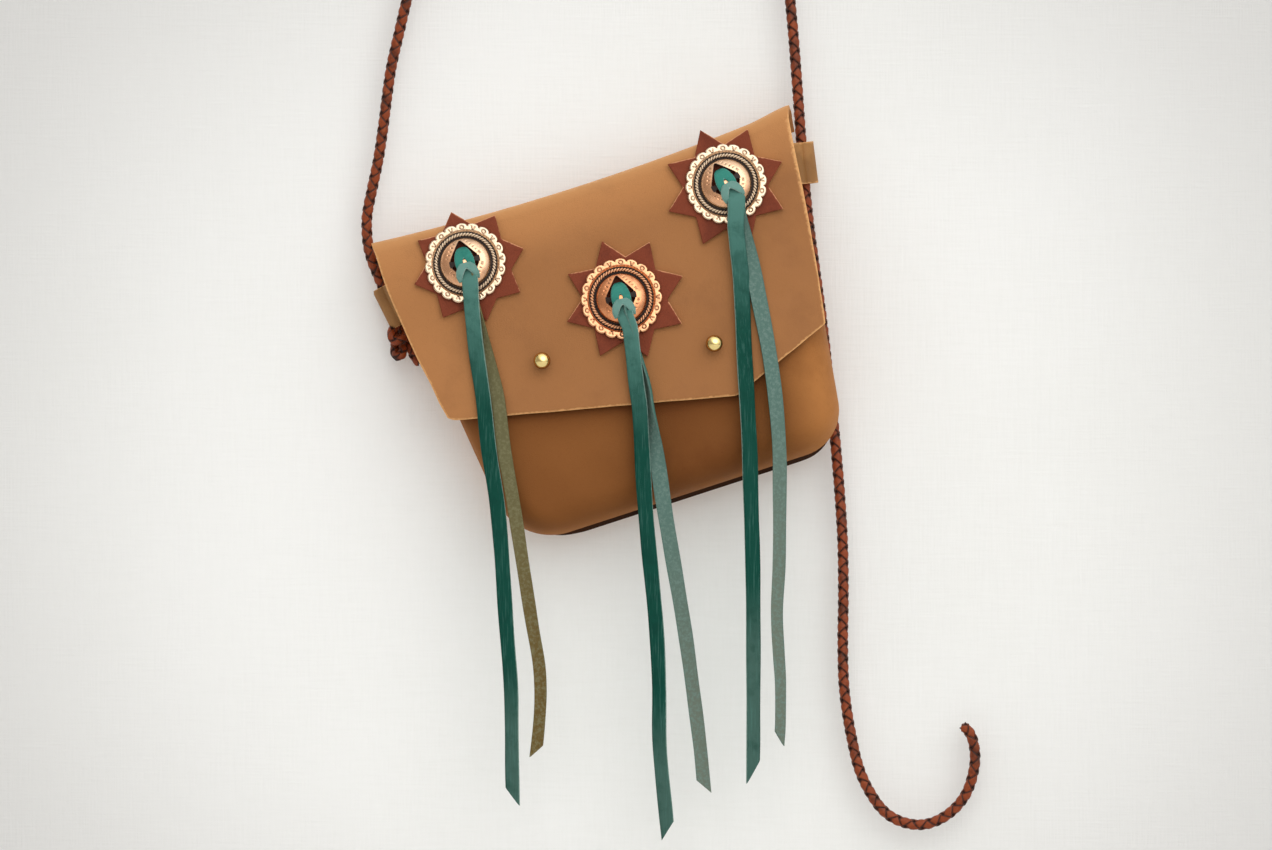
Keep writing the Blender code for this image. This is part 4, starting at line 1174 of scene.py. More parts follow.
@dataclass
class Strap:
    """Round braided strap, from the knot under the left keeper over the hook and down to its free tail."""

    diameter: float = 5.0
    knot_diameter: float = 4.3
    pitch: float = 15.0
    core: float = 1.45
    weave: float = 0.42
    lace_width: float = 3.95
    lace_thick: float = 1.55
    route: tuple[Pair, ...] = (
        (-99.0, -286.0), (-99.9, -282.8), (-101.7, -278.1), (-103.6, -273.5), (-105.5, -268.8),
        (-107.2, -264.6), (-109.1, -260.0), (-111.0, -255.4), (-112.6, -250.7), (-113.8, -245.1),
        (-114.3, -239.6), (-114.1, -231.2), (-111.7, -219.0), (-108.9, -205.5), (-106.7, -190.8),
        (-105.0, -177.3), (-102.9, -162.9), (-99.3, -146.9), (-95.2, -129.9), (-88.7, -109.0),
        (-79.4, -85.8), (-66.9, -60.2), (-51.1, -35.6), (-33.5, -13.8), (-16.7, -1.7), (0.0, 2.5),
        (16.7, -0.3), (33.0, -10.5), (48.3, -28.6), (60.9, -51.9), (70.2, -76.5), (77.1, -100.6),
        (81.8, -122.0), (84.0, -141.5), (85.9, -164.8), (87.5, -187.1), (88.3, -198.2), (89.1, -208.4),
        (90.0, -218.6), (91.2, -230.7), (92.6, -242.3), (94.7, -257.7), (97.3, -276.3), (99.6, -295.8),
        (101.7, -315.8), (103.6, -332.0), (105.1, -348.3), (106.4, -364.5), (107.6, -385.4),
        (107.9, -409.6), (107.6, -429.6), (108.0, -448.2), (109.3, -461.2), (111.5, -474.2),
        (114.8, -488.6), (119.6, -499.7), (126.4, -509.3), (134.3, -514.4), (143.6, -516.1),
        (152.2, -513.9), (160.0, -508.4), (165.6, -500.7), (168.6, -491.2), (169.3, -483.5),
        (168.2, -476.5), (166.3, -472.6), (163.9, -470.1))
    knot: tuple[Triple, ...] = (
        (-100.1, 0.0, -283.5), (-102.4, -1.8, -285.8), (-102.4, -3.6, -289.2), (-99.6, -4.6, -290.6),
        (-96.4, -3.0, -288.8), (-96.6, 0.8, -286.6), (-99.6, 2.8, -287.6), (-101.2, 2.2, -291.6),
        (-101.3, 0.4, -295.2), (-100.4, -2.0, -297.6), (-98.3, -2.2, -297.2), (-97.5, -0.6, -294.4),
        (-97.8, 1.6, -291.4), (-95.4, 2.4, -290.8), (-94.2, 1.8, -293.6), (-92.4, 1.2, -297.4),
        (-90.0, 0.8, -301.0))

    def _braid(self, name: str, line: Array, diameter: float, finish: Material) -> Piece:
        """Braid a cord along a line.

        Args:
            name: The piece's name.
            line: The line's points, in metres.
            diameter: The cord's diameter, in millimetres.
            finish: The finish of its laces.

        Returns:
            The braid.
        """
        curve = bpy.data.curves.new(name, "CURVE")
        curve.dimensions = "3D"
        spline = curve.splines.new("POLY")
        spline.points.add(len(line) - 1)
        for point, place in zip(spline.points, line):
            point.co = (*place, 1.0)
        scale = diameter / self.diameter * MM
        return grow(link(name, curve), braid_tree(), {
            "Pitch": self.pitch * scale, "Core": self.core * scale, "Weave": self.weave * scale,
            "Lace Width": self.lace_width * scale, "Lace Thickness": self.lace_thick * scale,
            "Step": 0.7 * MM, "Finish": finish})

    def build(self, finishes: Finishes) -> None:
        """Make the strap and its knot.

        Args:
            finishes: Every finish on the bag.
        """
        braid = finishes.braid.build()
        route = curve_through([(x, 0.0, z) for x, z in self.route], 2.0) * MM
        strap = self._braid("braided_strap", route, self.diameter, braid)
        knot_line = curve_through(self.knot, 1.0) * MM
        knot = self._braid("strap_stopper_knot", knot_line, self.knot_diameter, braid)
        dress(strap, None, "strap", "root")
        dress(knot, None, "strap_knot", "root")


# Pouch


@dataclass
class Pouch:
    """Pouch of two panels, the front one rolled back round its sides and bottom to the seam."""

    left_top: float = 3.1
    right_top: float = 203.1
    left_lean: float = 0.112
    right_lean: float = 0.143
    bottom: float = 156.2
    left_radius: float = 28.0
    right_radius: float = 22.0
    mouth: float = 18.0
    seam: float = 5.0
    front_roll: float = 15.0
    back_roll: float = 8.0
    leather: float = 2.0
    butt: float = 14.0
    welt: float = 2.3
    welt_from: float = 122.0
    welt_wide: float = 3.0
    welt_thick: float = 1.6
    front_counts: tuple[int, int, int] = (60, 70, 12)
    back_counts: tuple[int, int, int] = (50, 60, 8)

    def side(self, v: float, left: bool, inset: float) -> float:
        """Find the pouch's side at a drop v, with its rounded bottom corner.

        Args:
            v: The drop.
            left: Whether it is the left side.
            inset: How far inside the outline.

        Returns:
            The place u of the side.
        """
        low = self.bottom - inset
        sign = 1.0 if left else -1.0
        top, lean = (self.left_top, self.left_lean) if left else (self.right_top, -self.right_lean)
        radius = (self.left_radius if left else self.right_radius) - inset
        reach = math.hypot(1.0, lean)
        middle_v = low - radius
        if v <= middle_v + abs(lean) / reach * radius:
            return top + lean * v + sign * inset * reach
        middle_u = top + lean * middle_v + sign * (inset + radius) * reach
        return middle_u - sign * math.sqrt(max(radius ** 2 - (v - middle_v) ** 2, 0.0))

    def _grid(self, tops: Sequence[float], inset: float, radius: float,
              counts: tuple[int, int, int]) -> tuple[Array, Array, Array]:
        """Lay a grid over the outline.

        Args:
            tops: The drops of its first rows.
            inset: How far inside the outline it ends.
            radius: How wide its rolled edges are.
            counts: Its steps down, across and over a roll.

        Returns:
            The places u and v, and how far each is from the rolled edges, from 0 to 1.
        """
        down, across, rolls = counts
        band = radius * (1.0 - np.cos(np.linspace(0.0, math.pi / 2, rolls + 1)))
        low = self.bottom - inset
        rows = [*tops, *np.linspace(tops[-1], low - radius, down + 1)[1:-1], *(low - band[::-1])]
        lines = []
        for v in rows:
            left, right = self.side(v, True, inset), self.side(v, False, inset)
            middle = np.linspace(left + radius, right - radius, across + 1)[1:-1]
            lines.append(np.concatenate((left + band, middle, right - band[::-1])))
        u = np.array(lines)
        v = np.broadcast_to(np.array(rows)[:, None], u.shape)

        def rise(distance: Array) -> Array:
            """Return how far the roll has risen at a distance from the edge."""
            return np.sqrt(np.maximum(1.0 - (1.0 - share(distance / radius)) ** 2, 0.0))

        return u, v, rise(u - u[:, :1]) * rise(u[:, -1:] - u) * rise(low - v)

    def _painted_shade(self, u: Array, v: Array, fill: Array) -> Array:
        """Return the painted shade of the front panel: darkest in its middle and under the flap's hem.

        Args:
            u: Places to the right.
            v: Places down.
            fill: How far each is from the rolled edges.

        Returns:
            A value from 0 to 1 for each place.
        """
        hem = np.interp(u, *np.array(HEM).T)
        shown = smooth((v - hem + 14.0) / 12.0)
        shade = 0.68 + 0.08 * smooth((v - 112.0) / 34.0)
        shade = shade + 0.14 * smooth(1.0 - np.abs(u - 110.0) / 42.0) * shown
        # Painted light: less shade towards the right end and on the rolled edges.
        shade = shade * (1.0 - 0.9 * smooth((u - 152.0) / 28.0)) * (1.0 - 0.5 * smooth((0.7 - fill) / 0.5))
        # Painted shadow under the flap's hem.
        shade = shade + 0.3 * np.exp(-np.clip(v - hem, 0.0, 60.0) / 6.0) * shown
        return share(shade + 0.06 * ripple(u, v, 3, 50.0))

    def _front(self) -> Piece:
        """Make the front panel, a little slack where the hide is turned."""
        seam = self.seam + CLEAR / 2
        layers = []
        for inset in (0.0, self.leather):
            u, v, fill = self._grid([self.mouth], inset, self.front_roll - inset, self.front_counts)
            depth = FALL.inner(u, v) - FLAP_GAP - inset
            slack = 0.5 * ripple(u, v, 5, 60.0) * smooth((v - 95.0) / 30.0)
            dent = 0.5 * ripple(u, v, 11, 24.0) * smooth((v - 125.0) / 20.0) * (1.0 - fill) * fill * 4.0
            layers.append(Hang.place(u, v, seam + (depth + slack - seam) * fill + dent))
        u, v, fill = self._grid([self.mouth], 0.0, self.front_roll, self.front_counts)
        values = {"shade": self._painted_shade(u, v, fill), "edge": np.where(v <= self.mouth, 1.0, 0.0)}
        return closed_sheet("hide_pouch_front", *layers, grid_faces(*u.shape), values, sharp=60.0)

    def _back(self) -> Piece:
        """Make the back panel, flat in its middle and rolled forward to the seam."""
        seam = self.seam - CLEAR / 2
        layers = []
        for inset in (0.0, self.leather):
            tops = [self.butt, self.mouth]
            u, v, fill = self._grid(tops, inset, self.back_roll - inset, self.back_counts)
            part = smooth((v - self.butt) / (self.mouth + 6.0 - self.butt))
            depth = inset + (seam - inset) * part * (1.0 - fill)
            layers.append(Hang.place(u, v + FALL.crest_shift(u, v), depth))
        edge = np.zeros_like(u)
        edge[:, 0] = edge[:, -1] = 1.0
        # Painted shade along the back panel's sides.
        return closed_sheet("hide_pouch_back", *layers, grid_faces(*u.shape),
                            {"edge": edge, "shade": edge * 0.4}, sharp=60.0)

    def _welt(self) -> Piece:
        """Make the back panel's edge below the front one's roll, its dark colour a painted shadow."""
        drops = np.linspace(self.welt_from, self.bottom - 0.02, 160)
        outline = np.array([(self.side(v, True, 0.0), v) for v in drops]
                           + [(self.side(v, False, 0.0), v) for v in drops[::-1]])
        u, v = even(outline, 220).T
        line = Hang.place(u, v, self.seam - 1.9)
        outward = np.cross(unit(np.gradient(line, axis=0)), TOWARDS)
        far = np.linspace(0.0, 1.0, len(line))
        show = (self.welt + 1.2) * smooth((far - 0.14) / 0.14) * smooth((0.9 - far) / 0.14) - 1.5
        wide = (self.welt_wide + show) * MM
        return ribbon("hide_pouch_welt", line + outward * (show * MM - wide / 2)[:, None], outward, wide,
                      self.welt_thick * MM)

    def build(self, finishes: Finishes) -> None:
        """Make both panels and the edge between them.

        Args:
            finishes: Every finish on the bag.
        """
        front = dress(self._front(), finishes.pouch.build(), "pouch_front", "root")
        back = dress(self._back(), finishes.flap.build(), "pouch_back", "root")
        dress(self._welt(), finishes.welt.build(), "pouch_back", "root")
        LOG.info("pouch panels of %d and %d faces", len(front.data.polygons), len(back.data.polygons))


# Studs


@dataclass
class BallStud:
    """Ball stud that buttons the flap."""

    side: Side
    u: float
    v: float
    ball: float = 3.95
    neck: float = 2.1
    base: float = 4.2
    base_thick: float = 1.0
    neck_length: float = 4.2
    hole: float = 3.1

    def seat(self) -> Array:
        """Return where the stud stands on the front panel, in metres."""
        return Hang.place(self.u, self.v, FALL.inner(self.u, self.v) - FLAP_GAP)

    def ball_height(self) -> float:
        """Return how far the ball's middle stands off the panel, in millimetres."""
        return CLEAR + self.base_thick + self.neck_length + 0.85 * self.ball

    def _profile(self) -> Array:
        """Return the radius and height of each ring of the turned shape."""
        low, middle = CLEAR + self.base_thick, self.ball_height()
        profile = [(0.0, CLEAR), (self.base, CLEAR), (self.base, low - 0.2), (self.base - 0.25, low),
                   (self.neck + 0.5, low + 0.15), (self.neck, low + 0.7)]
        angles = np.linspace(math.asin(self.neck / self.ball), math.pi, 25)
        rings = np.stack((self.ball * np.sin(angles), middle - self.ball * np.cos(angles)), axis=-1)
        rings[-1, 0] = 0.0
        return np.vstack((profile, rings))

    def build(self, gold: Material, steps: int = 56) -> None:
        """Turn the stud.

        Args:
            gold: Its finish.
            steps: Its points round a ring.
        """
        radius, high = self._profile().repeat(steps, axis=0).T[:, :, None]
        angles = np.tile(circle(steps), len(radius) // steps)[:, None]
        right, up, out = FALL.axes(self.u, self.v)
        points = right * np.cos(angles) * radius + up * np.sin(angles) * radius + out * high
        # Painted shadow on the ball's lower part, towards the flap.
        painted_shadow = 0.85 * smooth((self.ball_height() + 0.62 * self.ball - high) / (0.35 * self.ball))
        piece = make_piece(f"ball_stud_{self.side.value}", points * MM + self.seat(),
                           grid_faces(len(radius) // steps, steps, wrap=True).tolist(), {"painted_shadow": painted_shadow},
                           merge=True)
        dress(piece, gold, f"stud_{self.side.value}", "root")
        LOG.info("ball stud %s", self.side.value)


# Flap


@dataclass
class FlapRow:
    """One row of the flap, from its left side to its right one, in millimetres."""

    u: Array
    v_out: Array
    w_out: Array
    v_in: Array
    w_in: Array
    gap: Array
    # Painted shade on the part of the fold that lies behind the bag.
    behind: float = 0.0

    def outer(self) -> Array:
        """Return the points of the outer face, rounded off towards the cut edges."""
        round_off = 0.55 * share(1.0 - self.gap / 0.9) ** 1.5 / FALL.leather
        v = self.v_out + FALL.crest_shift(self.u, self.v_out) - (self.v_out - self.v_in) * round_off
        return Hang.place(self.u, v, self.w_out - (self.w_out - self.w_in) * round_off)

    def inner(self) -> Array:
        """Return the points of the inner face."""
        return Hang.place(self.u, self.v_in + FALL.crest_shift(self.u, self.v_in), self.w_in)

    def shade(self) -> Array:
        """Return the painted shade of the leather: less at the crest and near the left side."""
        dark = (0.3 + 0.36 * smooth((self.u - 15.0) / 40.0)) * smooth((self.v_out - 8.0) / 28.0)
        return share(dark + 0.1 * ripple(self.u, self.v_out, 14, 70.0) + self.behind)

    def stretch(self) -> Array:
        """Return the painted highlight over the fold: paler towards the crest."""
        return share(np.exp(-(self.v_out + 0.0 * self.u - FALL.hinge_drop + FALL.fold_radius) / 3.2))


@dataclass
class Flap:
    """Flap in one sheet with the fold: up from the back panel, over the crest and down to its raw hem."""

    studs: tuple[BallStud, ...]
    left: Pair = HEM[0]
    low: Pair = HEM[1]
    right: Pair = HEM[2]
    radii: Triple = (8.0, 6.0, 2.5)
    bow: float = 1.2
    flare: float = 1.8
    columns: int = 170
    rows: int = 96
    fold_rows: int = 22
    back_from: float = 14.0
    blend_reach: Pair = (2.2, 10.0)
    hole_reach: float = 6.0

    def __post_init__(self) -> None:
        """Work out the places across the flap and along its hem."""
        near = np.array((0.0, 0.0018, 0.0045, 0.009))
        self.shares = np.concatenate((near, np.linspace(0.014, 0.986, self.columns), 1.0 - near[::-1]))
        hem = self._hem()
        walked = walk(hem)
        self.low_u, self.low_v = (np.interp(self.shares * walked[-1], walked, part) for part in hem.T)
        self.low_v = self.low_v + 0.22 * ripple(self.low_u, self.low_v, 21, 30.0)

    def _hem(self) -> Array:
        """Return the hem, from the middle of the left corner to the middle of the right one."""
        width, steps = FALL.width, 8
        outline = round_corners(((0.0, 0.0, 0.0), (self.left[0] / 2, self.left[1] / 2, 0.0),
                                 (*self.left, self.radii[0]), (*self.low, self.radii[1]),
                                 (*self.right, self.radii[2]),
                                 ((width + self.right[0]) / 2, self.right[1] / 2, 0.0), (width, 0.0, 0.0)),
                                steps)
        first = 2 + steps // 2
        return outline[first:first + 2 * (steps + 1) + 1]

    def _spread(self, part: Array) -> Array:
        """Return u across the flap for the share of each place's way down, with the sides' bows.

        Args:
            part: How far down each column's place is, from 0 at the top to 1 at the hem.

        Returns:
            The place u of each column.
        """
        rough = 0.18 * ripple(part * 90.0, part * 3.0, 8, 24.0)
        left = 0.7 + 1.8 * smooth(part / 0.3) - 2.0 * smooth((part - 0.62) / 0.3)
        left = left + 0.8 * smooth((part - 0.72) / 0.2) * smooth((1.0 - part) / 0.1) + rough
        bow = self.bow * 4.0 * part * (1.0 - part) + 1.5 * share(1.0 - part / 0.35) ** 2
        top_u = self.shares * FALL.width
        bend = -left * (1.0 - self.shares) ** 6 + (bow + rough) * self.shares ** 6
        return top_u + (self.low_u - top_u) * part + bend

    def _fold(self) -> list[FlapRow]:
        """Return the rows behind the bag and round the fold."""
        drop, radius, leather = FALL.hinge_drop, FALL.fold_radius, FALL.leather
        flare = self.flare * smooth((self.shares - 0.93) / 0.07)
        flat = np.zeros_like(self.shares)
        rows = [FlapRow(self._spread(v / self.low_v) + flare, v, flat, v, flat + leather, flat + 9.0, 1.0)
                for v in np.linspace(self.back_from, drop, 4)[:-1]]
        for angle in np.linspace(0.0, math.pi, self.fold_rows + 1)[:-1]:
            v = drop - radius * math.sin(angle)
            back = 0.5 + 0.5 * math.cos(angle)
            u = self._spread(v / self.low_v) + flare * back
            rows.append(FlapRow(u, v, flat + radius - radius * math.cos(angle),
                                drop - (radius - leather) * math.sin(angle),
                                flat + radius - (radius - leather) * math.cos(angle),
                                np.minimum(u - u[0], u[-1] - u) + 9.0 * back, back))
        return rows

    def _face(self) -> list[FlapRow]:
        """Return the rows from the fold to the hem."""
        parts = np.concatenate((np.linspace(0.0, 0.972, self.rows), (0.984, 0.9925, 0.9975, 1.0)))
        drops = [FALL.hinge_drop + (self.low_v - FALL.hinge_drop) * part for part in parts]
        front = np.array([(self._spread(v / self.low_v), v) for v in drops]).transpose(0, 2, 1)
        sides = np.vstack((front[:, 0], front[-1], front[::-1, -1]))
        rows = []
        for flat in front:
            u, v = flat.T
            gap = nearest_on_line(flat, sides, closed=False)[1]
            gap = gap / (1.0 + 0.9 * smooth((self.shares - 0.97) / 0.02) * (1.0 - smooth((v - 35.0) / 45.0)))
            w = FALL.inner(u, v) + 0.18 * ripple(u, v, 2, 80.0) * smooth((v - 12.0) / 25.0)
            rows.append(FlapRow(u, v, w + FALL.leather, v, w, gap))
        return rows

    def build(self, finishes: Finishes) -> None:
        """Make the sheet and open the holes for the ball studs.

        Args:
            finishes: Every finish on the bag.
        """
        rows = self._fold() + self._face()
        values = {"edge": share(1.0 - np.array([row.gap for row in rows]) / 2.0),
                  "stretch": np.array([row.stretch() for row in rows]),
                  "shade": np.array([row.shade() for row in rows])}
        outer, inner = np.array([row.outer() for row in rows]), np.array([row.inner() for row in rows])
        piece = closed_sheet("hide_flap", outer, inner, grid_faces(len(rows), len(self.shares)), values)
        for stud in self.studs:
            self._stud_hole(piece, stud)
        dress(piece, finishes.flap.build(), "flap", None)
        start, end = (Hang.place(0.0, FALL.hinge_drop, w) for w in self.blend_reach)
        tuple(start)
        tuple(end)
        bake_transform(piece)
        LOG.info("flap of %d faces", len(piece.data.polygons))

    def _stud_hole(self, piece: Piece, stud: BallStud) -> None:
        """Open the hole of a ball stud, which stays hidden behind the ball.

        Args:
            piece: The flap.
            stud: The stud.
        """
        right, up, out = FALL.axes(stud.u, stud.v)
        middle = stud.seat() + out * stud.ball_height() * MM
        angles = circle(28)

        def place(flat: Array, height: float) -> Array:
            """Return points in metres for the hole's outline at a height."""
            return middle + (right * flat[:, :1] + up * flat[:, 1:] + out * (height - 4.0)) * MM

        outline = stud.hole * np.stack((np.cos(angles), np.sin(angles)), axis=-1)
        cut_hole(piece, outline, place, self.hole_reach)


# Conchos, stars and laces


@dataclass
class Seat:
    """Where a concho sits on the flap, with its own directions right, up and outward."""

    u: float
    v: float
    lean: float

    def __post_init__(self) -> None:
        """Work out the directions."""
        across, rise, self.out = FALL.axes(self.u, self.v)
        angle = math.radians(self.lean) + Hang.TILT
        self.up = rise * math.cos(angle) + across * math.sin(angle)
        self.right = np.cross(self.up, self.out)
        self.origin = Hang.place(self.u, self.v, FALL.outer(self.u, self.v))

    def place(self, x: Array, y: Array, height: Array) -> Array:
        """Return points in metres for places on the seat in millimetres."""
        x, y, height = (np.asarray(part, float)[..., None] for part in np.broadcast_arrays(x, y, height))
        return self.origin + (self.right * x + self.up * y + self.out * height) * MM

    def matrix(self, height: float) -> Matrix:
        """Return the turn and move that set a shape made at the origin onto the seat."""
        turn = Matrix(np.stack((self.right, self.up, self.out), axis=-1).tolist()).to_4x4()
        return Matrix.Translation(Vector(self.place(0.0, 0.0, height).tolist())) @ turn @ Matrix.Scale(MM, 4)


@dataclass
class Star:
    """Star of thin leather under a concho."""

    spot: Spot
    radius: float
    turn: float
    shift: Pair
    points: int = 8
    inner: float = 19.7
    leather: float = 1.6
    per_edge: int = 8

    def _rim(self) -> tuple[Array, Array]:
        """Return the points round the star, and how near each is to a tip, from 0 to 1."""
        angles = circle(2 * self.points) + math.radians(self.turn) - Hang.TILT + math.pi / 8
        reach = np.tile((self.radius, self.inner), self.points)
        corners = np.stack((reach * np.cos(angles), reach * np.sin(angles)), axis=-1)[:, None]
        part = (np.arange(self.per_edge) / self.per_edge)[:, None]
        rim = corners * (1.0 - part) + np.roll(corners, -1, axis=0) * part
        return rim.reshape(-1, 2), np.tile(np.concatenate((1.0 - part, part)).ravel(), self.points)

    def build(self, seat: Seat, finish: Material) -> None:
        """Make the star, its points standing a little off the flap.

        Args:
            seat: Where the concho sits.
            finish: The star's finish.
        """
        rim, tips = self._rim()
        legs = unit(np.roll(rim, -1, axis=0) - rim)
        # Painted highlight: cut edges that face up are paler than those that face down.
        painted_edge_highlight = share(0.3 + 1.3 * (legs[:, 1] * math.sin(Hang.TILT) - legs[:, 0] * math.cos(Hang.TILT)))
        spokes = 2 * self.points
        wander = np.random.default_rng(40 + self.spot.value).uniform(0.2, 1.0, spokes).repeat(self.per_edge)
        rings = np.concatenate((np.linspace(0.0, 0.94, 12), (0.965, 0.985, 1.0)))[:, None]
        u = seat.u + (self.shift[0] + rim[:, 0]) * rings
        v = seat.v + (self.shift[1] - rim[:, 1]) * rings
        gap = (1.0 - rings) * np.linalg.norm(rim, axis=1)
        skin = FALL.outer(u, v) + 0.9 * wander * tips * smooth((rings - 0.7) / 0.3)
        steep = math.hypot(1.0, FALL.slope)
        top = Hang.place(u, v, skin + (CLEAR + self.leather - 0.25 * share(1.0 - gap / 0.6) ** 2) * steep)
        piece = closed_sheet(f"leather_star_{self.spot.word}", top, Hang.place(u, v, skin + CLEAR * steep),
                             grid_faces(*u.shape, wrap=True), {"edge": share(1.0 - gap / 1.5) * painted_edge_highlight},
                             sharp=50.0, merge=True)
        dress(piece, finish, f"star_{self.spot.word}", "flap")


@dataclass
class Concho:
    """Stamped disc: scalloped rim, rope ring, hollow dome and two slots with a bar between them."""

    spot: Spot
    phase: float
    radius: float = 19.05
    metal: float = 1.2
    base: float = 2.3
    dome: float = 11.8
    rise: float = 4.4
    scallops: int = 20
    scallop: float = 1.35
    rope: float = 13.6
    bar: float = 1.1
    slot_base: float = 14.0
    slot_height: float = 9.8
    plain: float = 15.6
    figures: float = 16.9
    scallop_steps: int = 18
    plain_rings: int = 62
    rim_rings: int = 17
    beads: int = 60
    bead: Triple = (0.98, 2.4, 2.2)
    bead_lean: float = 0.7

    def slots(self) -> list[Array]:
        """Return the outlines of the two slots."""
        low, high, half = self.bar, self.bar + self.slot_height, self.slot_base / 2
        upper = round_corners(((-half, low, 0.7), (half, low, 0.7), (0.0, high, 0.6)), 5)
        return [upper, upper * np.array((1.0, -1.0))]

    def rim_radius(self, angle: Array) -> Array:
        """Return the radius of the scalloped rim."""
        part = (angle / math.tau * self.scallops) % 1.0
        return self.radius - self.scallop + self.scallop * np.sqrt(np.sin(math.pi * part))

    def dome_top(self, radius: Array) -> Array:
        """Return the height of the plain top."""
        part = share(radius / self.dome)
        return 0.9 * self.metal + (self.rise + 0.1 * self.metal) * np.sqrt(np.maximum(1.0 - part ** 2, 0.0))

    def _stamps(self, radius: Array, angle: Array, rim: Array) -> Array:
        """Return how deep the stamped figures are on the rim: rings and leaves in turn, and their border.

        Args:
            radius: How far each point is from the middle.
            angle: Its angle from the first scallop.
            rim: How much it belongs to the rim, from 0 to 1.

        Returns:
            The depth at each point, from 0.
        """
        turns = angle / math.tau * self.scallops
        lobe = np.floor(turns)
        part = turns - lobe
        across = (part - 0.5) * math.tau / self.scallops * self.figures
        along = radius - self.figures
        reach = np.hypot(across, along)
        ring = bell((reach - 0.85) / 0.27) + 0.5 * bell(reach / 0.3)
        leaf = bell((np.abs(across) - 0.55 - 0.35 * along) / 0.22) * (np.abs(along) < 0.9)
        leaf = leaf + bell(np.hypot(across, along + 0.9) / 0.32)
        border = bell((part - np.round(part)) * 15.0) * (radius > 17.2)
        return np.where(lobe % 2 == 0, ring, leaf) * rim + 0.7 * border * rim

    def _dashes(self, flat: Array, radius: Array) -> tuple[Array, Array]:
        """Return the dashes stamped round the slots, and the painted shade along the slots' own edges.

        Args:
            flat: The points in the plane.
            radius: How far each is from the middle.

        Returns:
            Both values for each point.
        """
        dashes, dark = np.zeros_like(radius), np.zeros_like(radius)
        for outline in self.slots():
            _, gap, along = nearest_on_line(flat, outline)
            dash = (np.abs((along / 1.9) % 1.0 - 0.5) < 0.17) & (np.abs(gap - 1.7) < 0.55)
            dash = dash & ~inside_outline(flat, outline) & (np.abs(flat[:, 1]) > 1.9) & (radius < 11.0)
            dashes = np.maximum(dashes, np.where(dash, 1.0, 0.0))
            dark = np.maximum(dark, 0.75 * bell(gap / 0.3))
        return dashes, dark

    def _relief(self, flat: Array) -> tuple[Array, Array, Array, Array]:
        """Return the top's height, how hollow and proud it is, and its dome tone and painted shade, over the
        points.

        Args:
            flat: The points.

        Returns:
            The four values of each point.
        """
        radius = np.linalg.norm(flat, axis=1)
        angle = np.arctan2(flat[:, 1], flat[:, 0]) - math.radians(self.phase)
        band = smooth((radius - self.dome + 0.5) / 0.7)
        groove = np.exp(-((radius - 13.4) / 1.75) ** 8)
        rim = smooth((radius - 15.3) / 0.7)
        edge = self.rim_radius(angle) - radius
        stamp = self._stamps(radius, angle, rim)
        dashes, dark = self._dashes(flat, radius)
        height = self.dome_top(radius) * (1 - band) + band * 0.75 * self.metal - 0.45 * groove
        height = height + rim * 0.45 * self.metal - 0.55 * share(1.0 - edge / 0.7) ** 2
        height = height - 0.3 * stamp - 0.22 * dashes
        x, y = np.abs(flat).T
        # Painted shade on the bar's ends, beside the lace band.
        beside = np.where((y < self.bar + 0.5) & (x > 4.0) & (x < 7.2), 1.0, 0.0)
        hollow = np.max((groove + 0.62 * stamp, dark, 0.5 * dashes, beside), axis=0)
        proud = 0.8 * bell((edge - 0.55) / 0.4) + 0.55 * rim * (1.0 - share(stamp))
        # Painted shade: the dome's tone is laid on strongly towards its lower left, away from the light,
        # faintly elsewhere.
        light = smooth((0.8 * flat[:, 0] + 0.6 * flat[:, 1] + 3.0) / 11.0)
        shine = smooth((self.dome - 0.2 - radius) / 1.2) * (1.0 - 0.8 * light)
        return height, share(hollow), share(proud), shine

    def build(self, seat: Seat, finish: Material) -> None:
        """Stamp the disc and lay the rope border in its groove.

        Args:
            seat: Where the concho sits.
            finish: The metal's finish.
        """
        steps = self.scallops * self.scallop_steps
        angles = circle(steps) + math.radians(self.phase)
        rim = self.rim_radius(angles - math.radians(self.phase))
        inner = np.linspace(0.0, self.plain, self.plain_rings)[:, None] * np.ones(steps)
        part = np.linspace(0.0, 1.0, self.rim_rings)[1:, None]
        reach = np.vstack((inner, self.plain + (rim - self.plain) * part))
        flat = np.stack((reach * np.cos(angles), reach * np.sin(angles)), axis=-1).reshape(-1, 2)
        flat, faces = open_holes(flat, grid_faces(len(reach), steps, wrap=True), self.slots())
        height, hollow, proud, shine = self._relief(flat)
        radius = np.linalg.norm(flat, axis=1)
        under = self.dome_top(radius * self.dome / (self.dome - 1.0)) - 1.1 * self.metal
        under = np.minimum(np.where(radius < self.dome - 0.6, np.maximum(under, 0.05), 0.05), height - 0.35)
        word = self.spot.word
        values = {"hollow": hollow, "hollow_under": np.full_like(hollow, 0.7), "proud": proud,
                  "proud_under": np.zeros_like(proud), "dome": shine}
        disc = closed_sheet(f"stamped_concho_{word}", seat.place(*flat.T, self.base + height),
                            seat.place(*flat.T, self.base + under), faces, values, sharp=50.0, merge=True)
        disc.data.materials.append(finish)
        wide, long, high = self.bead
        rope = grow(link(f"concho_rope_{word}", bpy.data.meshes.new(f"concho_rope_{word}")), rope_tree(), {
            "Beads": self.beads, "Radius": self.rope, "Length": long, "Width": wide, "Height": high,
            "Lean": self.bead_lean, "Finish": finish})
        rope.data.transform(seat.matrix(self.base + 0.75 * self.metal))
        for piece in (disc, rope):
            dress(piece, None, f"concho_{word}", "flap")
        LOG.info("concho %s of %d faces", word, len(disc.data.polygons))


SLIT = ((0.0, 1.6), (-0.7, 0.5), (-0.95, -0.9), (-0.7, -1.8), (0.7, -1.8), (0.95, -0.9), (0.7, 0.5))
NOTCH = ((0.0, -3.9), (-1.5, -5.8), (-2.9, -8.0), (-3.3, -9.9), (3.3, -9.9), (2.9, -8.0), (1.5, -5.8))
